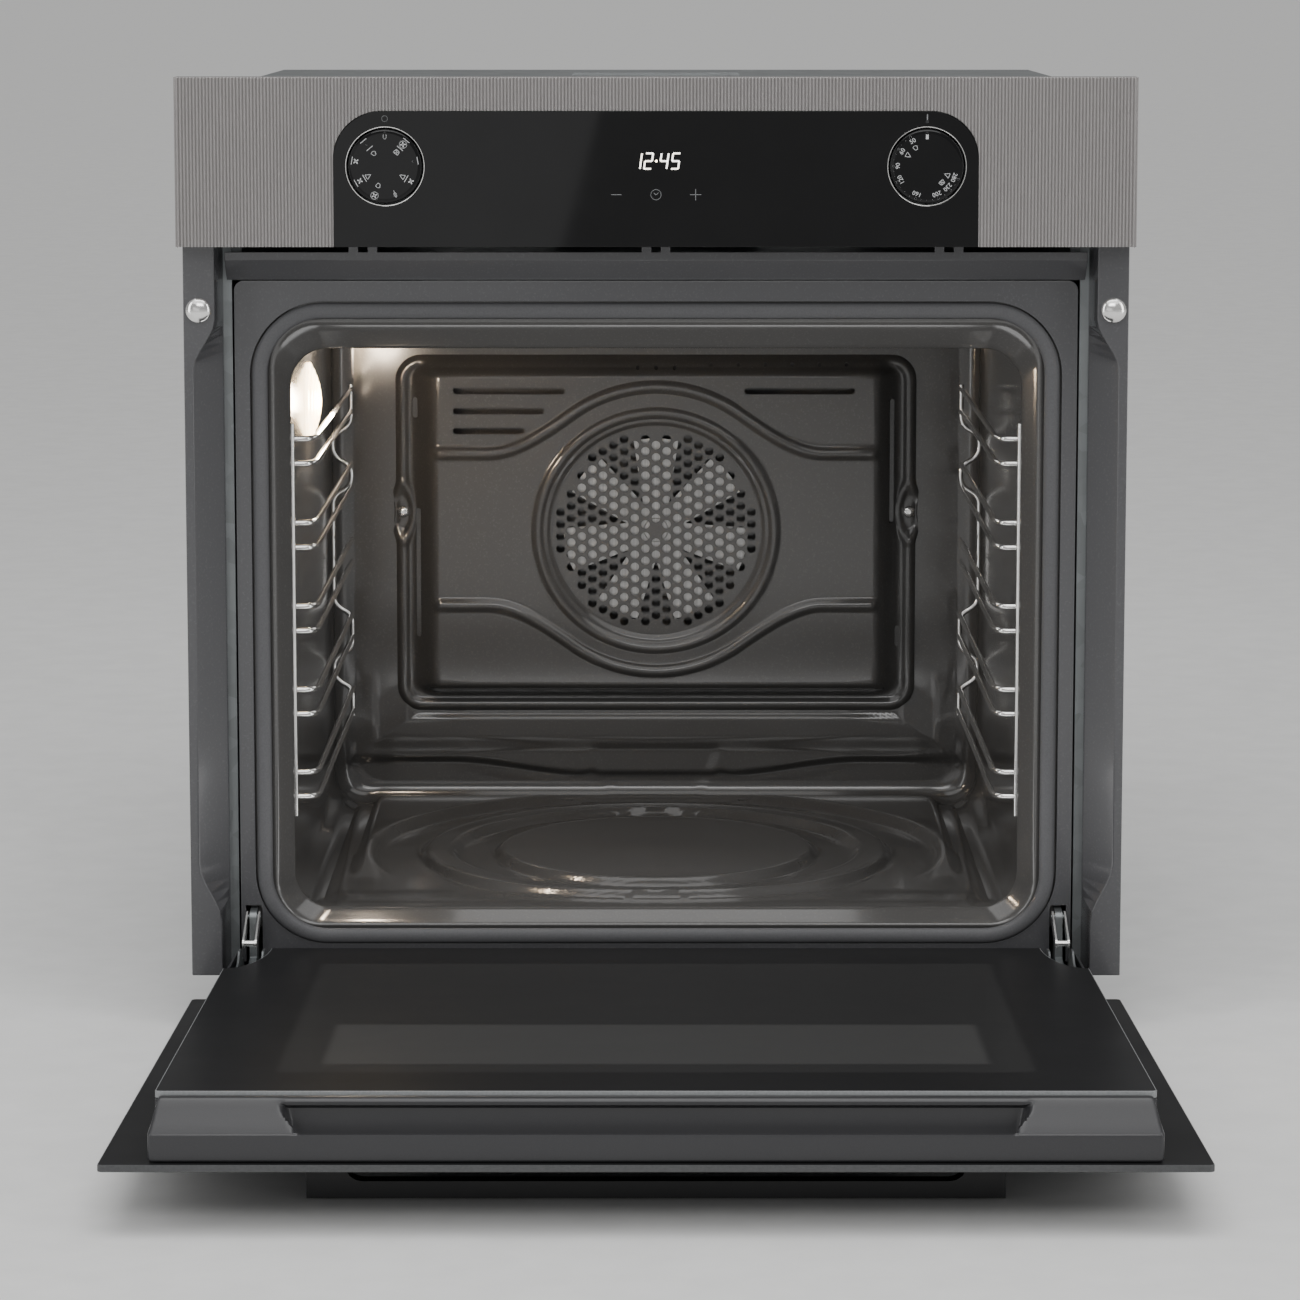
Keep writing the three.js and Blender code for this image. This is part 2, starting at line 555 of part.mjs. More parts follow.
// ---- Cooling duct and blower above the cavity ----
const BLOWER = { y: 420, floor: 464.4, top: 500, wheel: 52, half: 72 };
const makeCooling = () => {
  const { y, floor, top, wheel, half } = BLOWER;
  const tray = join(
    block(-274, 274, 32, 540, 462.6, 463.8),
    ...[-1, 1].map((side) => block(side * 273.4 - 0.6, side * 273.4 + 0.6, 32, 540, 463, 475)),
    ...[-1, 1].map((side) => block(side * 268 - 6, side * 268 + 6, 26, 40, 463.3, 496)),
    block(-270, 270, 26, 27.2, 490, 578),
    block(-270, 270, 0.4, 27.2, 576.8, 578),
    ...[-1, 1].map((side) => block(side * 266.6 - 0.6, side * 266.6 + 0.6, -20.2, 27, 492, 578)),
  );
  const windows = [-1, 1].map((side) =>
    block(side * KNOB.x - 21, side * KNOB.x + 21, 20, 30, KNOB.z - 21, KNOB.z + 21));
  piece("service_tray", cut(tray, ...windows), "zinc");

  const shell = block(-half, half, y - half, y + half, floor, top);
  const room = block(-half + SHEET, half - SHEET, y - half - 2, y + half - SHEET, floor + SHEET, top - SHEET);
  const inlet = bar("z", top - 5, top + 5, 0, y, wheel - 14, 24);
  piece("blower_housing", cut(shell, room, inlet), "zinc");

  const parts = [
    bar("z", floor + 4, floor + 5.4, 0, y, wheel, 32),
    bar("z", floor + 4, floor + 20, 0, y, 8, 12),
    bar("z", floor + 15, 520, 0, y, 3, 12),
  ];
  const vanes = 18;
  for (let i = 0; i < vanes; i += 1) {
    const vane = block(wheel - 12, wheel - 0.5, -0.6, 0.6, floor + 4.5, top - 6);
    parts.push(vane.rotateZ((2 * Math.PI * i) / vanes).translate(0, y, 0));
  }
  piece("blower_wheel", join(...parts), "zinc");

  const motor = join(
    bar("z", 508, 540, 0, y, 30, 20),
    block(-58, 58, y - 7, y + 7, 506, 508.5),
    ...[-1, 1].map((side) => block(side * 54 - 4, side * 54 + 4, y - 6, y + 6, top + GAP, 507)),
  );
  piece("blower_motor", cut(motor, bar("z", 500, 526, 0, y, 3.7, 12)), "zinc");

  const gland = join(bar("y", 531, 547.4, 225, 480, 9, 20), bar("y", 531, 544, 225, 480, 12, 6));
  piece("cable_gland", cut(gland, bar("y", 520, 550, 225, 480, 5, 16)), "plastic");
};

// ---- Control panel ----
const insertOutline = (grow) => {
  const half = INSERT.half + grow;
  const top = INSERT.top + grow;
  const radius = INSERT.radius + grow;
  const points = [[-half, FASCIA.bottom], [half, FASCIA.bottom]];
  for (const [side, start] of [[1, 0], [-1, 90]]) {
    for (let i = 0; i <= 6; i += 1) {
      const angle = THREE.MathUtils.degToRad(start + 15 * i);
      points.push([side * (half - radius) + radius * Math.cos(angle), top - radius + radius * Math.sin(angle)]);
    }
  }
  return points;
};
const makeControls = () => {
  const { half, bottom, top, front, wall } = FASCIA;
  const shell = block(-half, half, front, -GAP, bottom, top);
  const hollow = block(-half + wall, half - wall, front + wall, 5, bottom + wall, top - wall);
  const opening = prismY(insertOutline(GAP).map(([x, z]) => [x, z === bottom ? bottom - 2 : z]), front - 1, -17.5);
  piece("fascia", cut(shell, hollow, opening), "greySteel");

  const bores = [-1, 1].map((side) => bar("y", front - 1, front + 8, side * KNOB.x, KNOB.z, KNOB.rim + GAP, 36));
  const insert = prismY(insertOutline(0), front, front + INSERT.thick);
  piece("control_glass", cut(insert, ...bores), "blackGlass");

  piece("display_module", join(
    block(-46, 46, -18.2, -8, 508, 560),
    block(-40, 40, -8.4, -5, 512, 556),
  ), "plastic");
  piece("control_board", join(
    block(-122, 122, -3, -1.4, 495, 575),
    block(-110, -84, -2, 16, 505, 530),
    block(84, 108, -2, 12, 520, 560),
    block(-60, -48, -2, 8, 540, 560),
    block(20, 60, -2, 5, 505, 520),
  ), "board");

  for (const [name, side, switchName] of [["function", -1, "function_selector"], ["temperature", 1, "thermostat"]]) {
    const x = side * KNOB.x;
    const ring = cut(
      bar("y", front - 0.4, front + 3.6, x, KNOB.z, KNOB.rim, 36),
      bar("y", front - 1, front + 5, x, KNOB.z, KNOB.radius + 0.45, 36),
    );
    piece(`${name}_bezel`, ring, "chrome");
    const knob = cut(
      join(
        cut(
          bar("y", front - 0.2, -2, x, KNOB.z, KNOB.radius, 36),
          bar("y", front + 2.6, 0, x, KNOB.z, KNOB.radius - 2, 24),
        ),
        bar("y", front + 2, 7, x, KNOB.z, 6.5, 16),
      ),
      bar("y", front + 2.6, 9, x, KNOB.z, KNOB.bore, 16),
    );
    piece(`${name}_knob`, knob, "blackGlass");
    piece(`${name}_shaft`, bar("y", front + 3.4, 20, x, KNOB.z, KNOB.shaft, 16), "chrome");
    const housing = join(
      block(x - 20, x + 20, 9, 36, KNOB.z - 20, KNOB.z + 20),
      block(x - 14, x + 14, 35, 44, KNOB.z - 10, KNOB.z + 10),
    );
    piece(switchName, cut(housing, bar("y", 5, 21, x, KNOB.z, KNOB.bore, 16)), "plastic");
  }
};

// ---- Hinges ----
const arcPoints = (cy, cz, radius, from, to, steps) =>
  Array.from({ length: steps + 1 }, (_, i) => {
    const angle = THREE.MathUtils.degToRad(from + ((to - from) * i) / steps);
    return [cy + radius * Math.cos(angle), cz + radius * Math.sin(angle)];
  });
const makeHinges = () => {
  const receiver = [
    [58, 64], [58, 12],
    ...arcPoints(HINGE.y, HINGE.z, 8, 270, 90, 6),
    [11, 29], [11.5, 50],
    ...arcPoints(LINK.y, LINK.z, LINK.eye, 180, 90, 4),
    [30, 60],
  ];
  pair("hinge_receiver", join(
    prismX(receiver, 256, 260.8),
    bar("x", 248, 266.6, HINGE.y, HINGE.z, HINGE.pin, 16),
    bar("x", 253.6, 263.2, LINK.y, LINK.z, LINK.pin, 12),
  ), "zinc");

  const slope = THREE.MathUtils.degToRad(180 + LINK.slope);
  const far = [LINK.y + LINK.length * Math.cos(slope), LINK.z + LINK.length * Math.sin(slope)];
  const outline = [
    ...arcPoints(LINK.y, LINK.z, LINK.eye, LINK.slope - 90, LINK.slope + 90, 6),
    ...arcPoints(far[0], far[1], 3.4, LINK.slope + 90, LINK.slope + 270, 6),
  ];
  const link = cut(
    join(
      prismX(outline, 253.9, 255.1),
      prismX(outline, 261.7, 262.9),
      bar("x", 254, 262.8, far[0], far[1], LINK.pin, 12),
    ),
    bar("x", 252, 264, LINK.y, LINK.z, LINK.pin + 0.5, 12),
  );
  pair("hinge_link", link, "chrome");

  const cheek = [
    ...arcPoints(0, 0, 13, 200, 340, 6),
    [13, 4], [20, 8], [20, 18], [13.9, 26], [12.3, 36], [12.3, 140], [-14.7, 140], [-14.7, 4],
  ];
  const channel = cut(
    join(
      prismX(cheek, 249, 250.4),
      prismX(cheek, 264.1, 265.5),
      block(249, 265.5, -14.7, -13.3, 10, 140),
    ),
    bar("x", 240, 270, 0, 0, HINGE.pin + 0.6, 16),
  );
  pair("hinge_channel", channel, "zinc", door);
};

// ---- Door ----
const notchedGlass = () => {
  const { half, bottom, top, notchX, notchZ } = INNER_GLASS;
  const right = [];
  const steps = 8;
  for (let i = 0; i <= steps; i += 1) {
    const angle = (Math.PI / 2) * (i / steps);
    right.push([half - notchX * Math.cos(angle), bottom + notchZ * Math.sin(angle)]);
  }
  right.push([half, top]);
  const left = right.map(([x, z]) => [-x, z]).reverse();
  return [...right, ...left];
};
const makeDoor = () => {
  const outside = DOOR.outside;
  const screwZ = (HANDLE.low + HANDLE.high) / 2;
  const screwX = HANDLE.half - HANDLE.post / 2;
  const pane = block(-DOOR.half, DOOR.half, outside, outside + DOOR.glass, DOOR.bottom, DOOR.top);
  const holes = [-1, 1].map((side) => bar("y", outside - 2, outside + 6, side * screwX, screwZ, 3, 12));
  piece("outer_glass", cut(pane, ...holes), "smokedGlass", door);
  piece("middle_glass", block(-244, 244, -4, 0, 8, 438), "smokedGlass", door);
  const inside = INNER_GLASS.inside;
  piece("inner_glass", prismY(notchedGlass(), inside - DOOR.glass, inside), "smokedGlass", door);

  const { half, foot, top, fold, lip } = CAP;
  const profile = [[-16.4, foot], [-16.4, top], [fold, top], [lip, 446.8], [lip, foot + 0.6], [12, foot]];
  const recess = new THREE.Shape([[-196, 11], [196, 11], [185, 1], [-185, 1]].map(([x, y]) => new THREE.Vector2(x, y)));
  const pocket = new THREE.ExtrudeGeometry(recess, { depth: 20, bevelEnabled: false }).translate(0, 0, 448);
  const grooves = block(-180, 180, 4, 8, 443.5, 460);
  piece("door_cap", cut(prismX(profile, -half, half), pocket, grooves), "coatedAluminium", door);

  const side = DOOR_SIDE;
  const channel = join(
    block(side.outer - 1.4, side.outer, side.low, side.high, side.bottom, side.top),
    block(side.inner, side.outer, side.low, side.low + 1.4, side.bottom, side.top),
    block(side.inner, side.outer, side.high - 1.4, side.high, 86, side.top),
  );
  pair("door_side", channel, "coatedAluminium", door);

  const { half: reach, post, low, high, outside: far, inside: near } = HANDLE;
  const bend = 10;
  const curve = arcPoints(reach - post - bend, near + bend, bend, -90, 0, 4);
  const outline = [[0, far], [reach, far], [reach, outside - GAP], [reach - post, outside - GAP],
    ...curve.reverse(), [0, near]];
  const twin = outline.slice(1, -1).map(([x, y]) => [-x, y]).reverse();
  const full = [...outline.slice(1, -1), ...twin];
  const shape = new THREE.Shape(full.map(([x, y]) => new THREE.Vector2(x, y)));
  const grip = new THREE.ExtrudeGeometry(shape, { depth: high - low, bevelEnabled: false }).translate(0, 0, low);
  const threads = [-1, 1].map((s) => bar("y", outside - 16, outside + 2, s * screwX, screwZ, 2.9, 12));
  piece("door_handle", cut(grip, ...threads), "blackCoat", door);
  const screw = join(
    bar("y", outside - 14, outside + DOOR.glass + 1, screwX, screwZ, 2.4, 12),
    bar("y", outside + DOOR.glass + GAP, outside + DOOR.glass + 3, screwX, screwZ, 5, 12),
  );
  pair("handle_screw", screw, "zinc", door);
};

makeHousing();
makePillars();
makeFront();
makeBaffle();
makeHeaters();
makeLamp();
makeRacks();
makeFan();
makeInsulation();
makeCooling();
makeControls();
makeHinges();
makeDoor();

export default oven;
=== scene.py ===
# %% [markdown]
# A built-in oven, dressed in Blender.
#
# The CAD frame gives every part its place and every joint its axis. This lesson walks through the
# oven from the control panel down to the door, gives each visible part its real edges, embosses and
# wires, and each finish a procedural material. All sizes are millimetres in the text and are turned
# into metres in one place.

import json
import math

import bmesh
import bpy
from mathutils import Matrix, Vector

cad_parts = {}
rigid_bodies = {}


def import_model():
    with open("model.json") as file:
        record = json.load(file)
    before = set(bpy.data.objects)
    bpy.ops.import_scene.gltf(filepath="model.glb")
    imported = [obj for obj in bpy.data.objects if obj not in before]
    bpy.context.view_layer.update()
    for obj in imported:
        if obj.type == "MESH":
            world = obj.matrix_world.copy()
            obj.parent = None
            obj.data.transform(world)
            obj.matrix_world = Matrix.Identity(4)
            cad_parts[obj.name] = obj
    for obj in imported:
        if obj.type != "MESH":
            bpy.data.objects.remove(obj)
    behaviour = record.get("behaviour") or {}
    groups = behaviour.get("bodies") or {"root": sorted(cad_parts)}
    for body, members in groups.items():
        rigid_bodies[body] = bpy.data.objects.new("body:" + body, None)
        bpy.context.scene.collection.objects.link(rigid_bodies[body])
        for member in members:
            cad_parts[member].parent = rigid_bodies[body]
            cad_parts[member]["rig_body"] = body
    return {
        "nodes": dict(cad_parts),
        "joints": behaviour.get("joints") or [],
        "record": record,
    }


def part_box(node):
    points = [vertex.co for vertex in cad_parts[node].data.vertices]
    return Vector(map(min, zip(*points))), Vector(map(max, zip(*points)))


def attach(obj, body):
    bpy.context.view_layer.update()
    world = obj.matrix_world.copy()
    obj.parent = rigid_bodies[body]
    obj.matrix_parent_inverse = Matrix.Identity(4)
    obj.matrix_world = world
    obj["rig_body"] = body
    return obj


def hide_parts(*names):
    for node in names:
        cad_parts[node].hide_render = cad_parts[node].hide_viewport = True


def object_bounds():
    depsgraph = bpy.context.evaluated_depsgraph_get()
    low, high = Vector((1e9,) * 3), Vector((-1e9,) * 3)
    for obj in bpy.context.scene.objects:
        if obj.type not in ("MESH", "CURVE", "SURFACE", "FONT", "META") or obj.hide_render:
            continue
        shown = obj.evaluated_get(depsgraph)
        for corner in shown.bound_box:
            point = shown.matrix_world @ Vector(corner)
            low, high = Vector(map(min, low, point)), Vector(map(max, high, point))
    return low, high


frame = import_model()
cad_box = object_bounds()
print("CAD box:", [round(v, 3) for corner in cad_box for v in corner])

# %% [markdown]
# Two frames of reference carry all the making. The cabinet frame has y = 0 on the cabinet's front
# face, where the pillars bear. The door frame has its origin on the hinge line, x across, y through
# the thickness and z from the hinge towards the free edge, so that the door can be drawn as if it
# hung closed and is then swung open with one matrix.

# %% Places: the cabinet frame and the door frame
MM = 0.001
mounts = {m["name"]: m for m in frame["record"]["mounts"]}
joints = {j["name"]: j for j in frame["joints"]}
CABINET_Y = mounts["cabinet_front_right"]["pos_m"][1]
cabinet = Matrix.Translation((0, CABINET_Y, 0))

hinge = joints["door_hinge"]
OPEN_ANGLE = math.radians(hinge["range_deg"][1])
door = Matrix.Translation(hinge["pos_m"]) @ Matrix.Rotation(OPEN_ANGLE, 4, "X")
print("cabinet front at y =", CABINET_Y, "door open by", round(math.degrees(OPEN_ANGLE), 2))


# %% [markdown]
# Node trees are built with one helper that adds a node, sets its options and plugs in its sockets.
# Colours are written as the hex values that a paint chart would give and turned to linear light here.

# %% Helpers for materials
def linear(hex_colour):
    """An sRGB hex colour as the linear RGBA that Blender's sockets take."""
    channels = [int(hex_colour[i:i + 2], 16) / 255 for i in (1, 3, 5)]
    lit = [c / 12.92 if c <= 0.04045 else ((c + 0.055) / 1.055) ** 2.4 for c in channels]
    return (*lit, 1.0)


def add(tree, kind, sockets=None, **settings):
    """Adds a node. sockets maps an input's name or number to a value or to another node's output."""
    made = tree.nodes.new("ShaderNode" + kind)
    for name, value in settings.items():
        setattr(made, name, value)
    for socket, value in (sockets or {}).items():
        if isinstance(value, bpy.types.NodeSocket):
            tree.links.new(value, made.inputs[socket])
        else:
            made.inputs[socket].default_value = value
    return made


def start_material(name):
    """A new material, its empty tree and the object coordinates that its noise is laid on."""
    material = bpy.data.materials.new(name)
    material.use_nodes = True
    tree = material.node_tree
    tree.nodes.clear()
    return material, tree, add(tree, "TexCoord").outputs["Object"]


def finished(material, sockets):
    """The material, with one principled shader of these sockets as its surface."""
    tree = material.node_tree
    shader = add(tree, "BsdfPrincipled", sockets)
    add(tree, "OutputMaterial", {"Surface": shader.outputs[0]})
    return material


def ramp(tree, factor, low, high):
    """A colour ramp between two (position, linear colour) stops."""
    made = add(tree, "ValToRGB", {"Fac": factor})
    for stop, (position, colour) in zip(made.color_ramp.elements, (low, high)):
        stop.position = position
        stop.color = colour
    return made.outputs["Color"]


def mapped(tree, factor, low, high):
    """A noise value between 0 and 1 spread over a range of numbers."""
    made = add(tree, "MapRange", {"Value": factor, "To Min": low, "To Max": high})
    return made.outputs["Result"]


def noise(tree, place, size_mm, detail=3.0):
    """Noise whose blobs are about size_mm across."""
    made = add(tree, "TexNoise", {"Vector": place, "Scale": 1 / (size_mm * MM), "Detail": detail})
    return made.outputs[0]


# %% [markdown]
# Vitreous enamel is glass fused on to steel at about 830 degrees. It has a hard gloss, flows into
# soft waves called orange peel, and carries fine dark and pale specks of frit. The waves bend
# reflections a little, so a very gentle bump is worth more here than any colour pattern. The CAD
# paint only knows one grey, so this coat is made from three noise scales: waves, specks and haze.

# %% Vitreous enamel
def enamel(name, body_hex, fleck_hex, gloss):
    material, tree, place = start_material(name)
    haze = noise(tree, place, 60)
    specks = noise(tree, place, 1.4, 2.0)
    waves = noise(tree, place, 9, 1.0)
    glaze = ramp(tree, specks, (0.56, linear(body_hex)), (0.74, linear(fleck_hex)))
    wave_bump = add(tree, "Bump", {"Height": waves, "Strength": 0.06, "Distance": 0.4 * MM})
    return finished(material, {
        "Base Color": glaze,
        "Roughness": mapped(tree, haze, gloss - 0.03, gloss + 0.06),
        "Normal": wave_bump.outputs["Normal"],
        "IOR": 1.5,
        "Coat Weight": 0.35,
        "Coat Roughness": 0.08,
    })


cavity_enamel = enamel("cavity_enamel", "#4B4A49", "#545352", 0.14)
front_enamel = enamel("front_enamel", "#454547", "#4E4E50", 0.22)
print("enamels:", cavity_enamel.name, front_enamel.name)

# %% [markdown]
# Sheet and wire metals differ in how they were finished. Galvanised sheet shows zinc crystals, or
# spangle, about 12 mm across, each with its own tint and roughness. Chromed wire is nearly a mirror.
# The ribbed panel is grey-coated steel with a fine vertical brush. A metal keeps the default IOR,
# and its colour is its reflectance.


# %% Sheet and wire metals
def spangled_zinc():
    material, tree, place = start_material("galvanised_sheet")
    crystals = add(tree, "TexVoronoi", {"Vector": place, "Scale": 1 / (12 * MM)})
    tint = add(tree, "SeparateColor", {"Color": crystals.outputs["Color"]})
    stain = noise(tree, place, 45)
    both = add(tree, "Math", {0: tint.outputs[0], 1: stain}, operation="MULTIPLY")
    colour = ramp(tree, both.outputs[0], (0.1, linear("#7B7E7F")), (0.7, linear("#8B8F90")))
    return finished(material, {
        "Base Color": colour,
        "Metallic": 0.9,
        "Roughness": mapped(tree, tint.outputs[1], 0.42, 0.50),
    })


def plated_wire():
    material, tree, place = start_material("chromed_wire")
    handling = noise(tree, place, 14)
    colour = ramp(tree, handling, (0.3, linear("#D9D8D6")), (0.8, linear("#F4F3F1")))
    return finished(material, {
        "Base Color": colour,
        "Metallic": 0.92,
        "Roughness": mapped(tree, handling, 0.10, 0.20),
    })


def brushed_sheet(name, dark_hex, light_hex, grain_mm, roughness):
    """Steel with a vertical brush: noise drawn out along Z."""
    material, tree, place = start_material(name)
    drawn = add(tree, "Mapping", {"Vector": place, "Scale": (1, 1, 0.02)})
    grain = noise(tree, drawn.outputs[0], grain_mm, 4.0)
    cloud = noise(tree, place, 80)
    colour = ramp(tree, grain, (0.3, linear(dark_hex)), (0.75, linear(light_hex)))
    brush = add(tree, "Bump", {"Height": grain, "Strength": 0.05, "Distance": 0.1 * MM})
    return finished(material, {
        "Base Color": colour,
        "Metallic": 0.55,
        "Roughness": mapped(tree, cloud, roughness - 0.03, roughness + 0.05),
        "Normal": brush.outputs["Normal"],
    })


zinc = spangled_zinc()
chrome = plated_wire()
ribbed_steel = brushed_sheet("ribbed_grey_steel", "#8A8786", "#908D8C", 0.8, 0.36)
fan_steel = brushed_sheet("stamped_aluminised_steel", "#A3A2A0", "#C9C8C6", 1.2, 0.30)
sheath = brushed_sheet("heat_darkened_sheath", "#4A433E", "#6E655D", 2.0, 0.5)
print("metals:", [m.name for m in (zinc, chrome, ribbed_steel, fan_steel, sheath)])

# %% [markdown]
# The control insert and the dials are float glass, printed black on the back. What the eye meets is
# a deep black with a sharp sheen on top. The door panes are coated heat-reflecting glass: a dark
# printed border round a slightly lighter window. Both are opaque here, and the window is a lighter
# tint. Glass has an IOR near 1.5. Less is used, so that the wide pale room doesn't grey the black.


# %% Glasses
def printed_glass(name, hex_colour, smear_mm):
    material, tree, place = start_material(name)
    smear = noise(tree, place, smear_mm)
    ink = ramp(tree, smear, (0.2, linear(hex_colour)), (0.9, linear("#101011")))
    return finished(material, {
        "Base Color": ink,
        "Roughness": mapped(tree, smear, 0.02, 0.05),
        "IOR": 1.36,
    })


def band(tree, coordinate, half, soft):
    """1 within half of zero along one coordinate, falling to 0 over soft."""
    away = add(tree, "Math", {0: coordinate}, operation="ABSOLUTE")
    edge = add(tree, "MapRange", {
        "Value": away.outputs[0], "From Min": half - soft, "From Max": half,
        "To Min": 1.0, "To Max": 0.0,
    }, interpolation_type="SMOOTHSTEP")
    return edge.outputs["Result"]


def window_glass(name, border_hex, window_hex, windows):
    """A coated pane drawn in the door frame: a printed border round lighter windows, one inside
    another. Each window is (middle z, half width, half height, share of the window's colour)."""
    material, tree, place = start_material(name)
    axes = add(tree, "SeparateXYZ", {"Vector": place})
    light = 0.0
    for middle_z, half_x, half_z, share in windows:
        up = add(tree, "Math", {0: axes.outputs["Z"], 1: middle_z * MM}, operation="SUBTRACT")
        across = band(tree, axes.outputs["X"], half_x * MM, 6 * MM)
        along = band(tree, up.outputs[0], half_z * MM, 6 * MM)
        inside = add(tree, "Math", {0: across, 1: along}, operation="MULTIPLY")
        part = add(tree, "Math", {0: inside.outputs[0], 1: share, 2: light}, operation="MULTIPLY_ADD")
        light = part.outputs[0]
    wipe = noise(tree, place, 70, 4.0)
    tint = ramp(tree, light, (0.0, linear(border_hex)), (1.0, linear(window_hex)))
    return finished(material, {
        "Base Color": tint,
        "Roughness": mapped(tree, wipe, 0.30, 0.40),
        "IOR": 1.09,
    })


black_glass = printed_glass("black_printed_glass", "#0A0A0B", 40)
inner_pane = window_glass("coated_door_glass", "#222223", "#3E3E3E",
                          ((222, 212, 172, 0.3), (311, 188, 60, 0.7)))
outer_pane = window_glass("dark_front_glass", "#1C1C1D", "#222224", ((225, 225, 150, 1.0),))
print("glasses:", black_glass.name, inner_pane.name, outer_pane.name)

# %% [markdown]
# The remaining finishes. Powder coat on aluminium is a cured plastic dust with a fine, even grain of
# about half a millimetre, which breaks reflections into a satin. The gasket is silicone rubber, the
# cover plates of the controls are moulded ABS, the board is green laminate and the blanket is wool.


# %% Coats, rubber, plastic and wool
def grained(name, dark_hex, light_hex, grain_mm, roughness, bump, metallic=0.0):
    """A matt coat: fine grain that shades the colour, the roughness and the relief together."""
    material, tree, place = start_material(name)
    grain = noise(tree, place, grain_mm)
    patches = noise(tree, place, 50)
    colour = ramp(tree, grain, (0.3, linear(dark_hex)), (0.7, linear(light_hex)))
    relief = add(tree, "Bump", {"Height": grain, "Strength": bump, "Distance": 0.3 * MM})
    return finished(material, {
        "Base Color": colour,
        "Metallic": metallic,
        "Roughness": mapped(tree, patches, roughness - 0.04, roughness + 0.05),
        "Normal": relief.outputs["Normal"],
    })


ground_edge = grained("ground_glass_edge", "#7A7C7D", "#868889", 1.5, 0.45, 0.05)
dull_edge = grained("painted_glass_edge", "#3A3B3C", "#444546", 1.5, 0.45, 0.05)
powder_grey = grained("powder_coated_aluminium", "#2A2A2C", "#303032", 0.5, 0.30, 0.08)
powder_black = grained("satin_black_coat", "#161617", "#1D1D1E", 0.5, 0.42, 0.10)
rubber = grained("silicone_rubber", "#48484A", "#505052", 1.0, 0.62, 0.15)
abs_black = grained("moulded_abs", "#232325", "#2D2D2F", 0.8, 0.55, 0.15)
laminate = grained("green_laminate", "#1B5233", "#27653F", 2.5, 0.5, 0.2)
wool = grained("mineral_wool_blanket", "#B5A778", "#D8CDA4", 3.0, 0.95, 0.8)
print("coats:", [m.name for m in (powder_grey, powder_black, rubber, abs_black, laminate, wool)])


# %% [markdown]
# The lamp is a halogen capsule behind a pressed borosilicate lens. The lens scatters the filament's
# light, so all of it glows warmly, in a tint that a noise changes a little from place to place.

# %% Lamp glass and the light of the display
def glowing(name, hex_colour, strength):
    material, tree, place = start_material(name)
    ripple = noise(tree, place, 6)
    warm = ramp(tree, ripple, (0.2, linear(hex_colour)), (0.9, linear("#FFF4DC")))
    return finished(material, {
        "Base Color": warm,
        "Roughness": mapped(tree, ripple, 0.1, 0.25),
        "Emission Color": warm,
        "Emission Strength": strength,
    })


lamp_glass = glowing("lit_borosilicate", "#FFD79A", 9.0)
display_light = glowing("white_display_segments", "#F4F6F8", 2.4)
print("lit:", lamp_glass.name, display_light.name)

# %% [markdown]
# Sheet metal is never sharp: a punched and folded edge is rounded by a few tenths of a millimetre,
# and that is what catches the light. These helpers turn a bmesh drawn in millimetres into a piece
# that rides on a body, round its edges, and shade it smooth up to a set angle. A bevel modifier on
# each piece would give the same edge, but here the width can be chosen while the mesh is drawn.

# %% Helpers for pieces
SMOOTH_BELOW = math.radians(38)
SIDES = (("left", -1), ("right", 1))


def new_object(name, data):
    """An object of this data, linked into the scene."""
    made = bpy.data.objects.new(name, data)
    bpy.context.scene.collection.objects.link(made)
    return made


def mesh_of(made):
    """A new mesh of the object as it looks with all its modifiers, or with its curve filled."""
    graph = bpy.context.evaluated_depsgraph_get()
    return bpy.data.meshes.new_from_object(made.evaluated_get(graph))


def mesh_of_curve(curve):
    """The filled mesh of a curve, which is then deleted."""
    carrier = new_object(curve.name, curve)
    mesh = mesh_of(carrier)
    bpy.data.objects.remove(carrier)
    bpy.data.curves.remove(curve)
    return mesh


def close_ends(bm, loops):
    """Closes a tube of rings with one face at each end."""
    bm.faces.new(loops[0][::-1])
    bm.faces.new(loops[-1])


def round_edges(bm, width, segments=2, angle=35):
    """Rounds every edge where two faces meet at more than angle degrees."""
    sharp = [e for e in bm.edges if len(e.link_faces) == 2 and e.calc_face_angle(0) > math.radians(angle)]
    bmesh.ops.bevel(bm, geom=sharp, offset=width, segments=segments, profile=0.6,
                    affect="EDGES", clamp_overlap=True)


def piece(name, bm, material, body, stands_for=(), place=cabinet):
    """Makes the object from a bmesh in millimetres, and lets it ride on a body of the frame."""
    bmesh.ops.scale(bm, vec=(MM, MM, MM), verts=bm.verts)
    bmesh.ops.recalc_face_normals(bm, faces=bm.faces)
    mesh = bpy.data.meshes.new(name)
    bm.to_mesh(mesh)
    bm.free()
    mesh.shade_smooth()
    mesh.set_sharp_from_angle(angle=SMOOTH_BELOW)
    mesh.materials.append(material)
    made = new_object(name, mesh)
    made.matrix_world = place
    made.modifiers.new("flat faces stay flat", "WEIGHTED_NORMAL").keep_sharp = True
    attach(made, body)
    if stands_for:
        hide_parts(*stands_for)
    return made


def skin(bm, rings, closed=False):
    """Joins rings of points, equal in number, with quads. closed runs the last ring to the first."""
    loops = [[bm.verts.new(point) for point in ring] for ring in rings]
    pairs = list(zip(loops, loops[1:]))
    if closed:
        pairs.append((loops[-1], loops[0]))
    for low, high in pairs:
        for i in range(len(low)):
            j = (i + 1) % len(low)
            bm.faces.new((low[i], low[j], high[j], high[i]))
    return loops


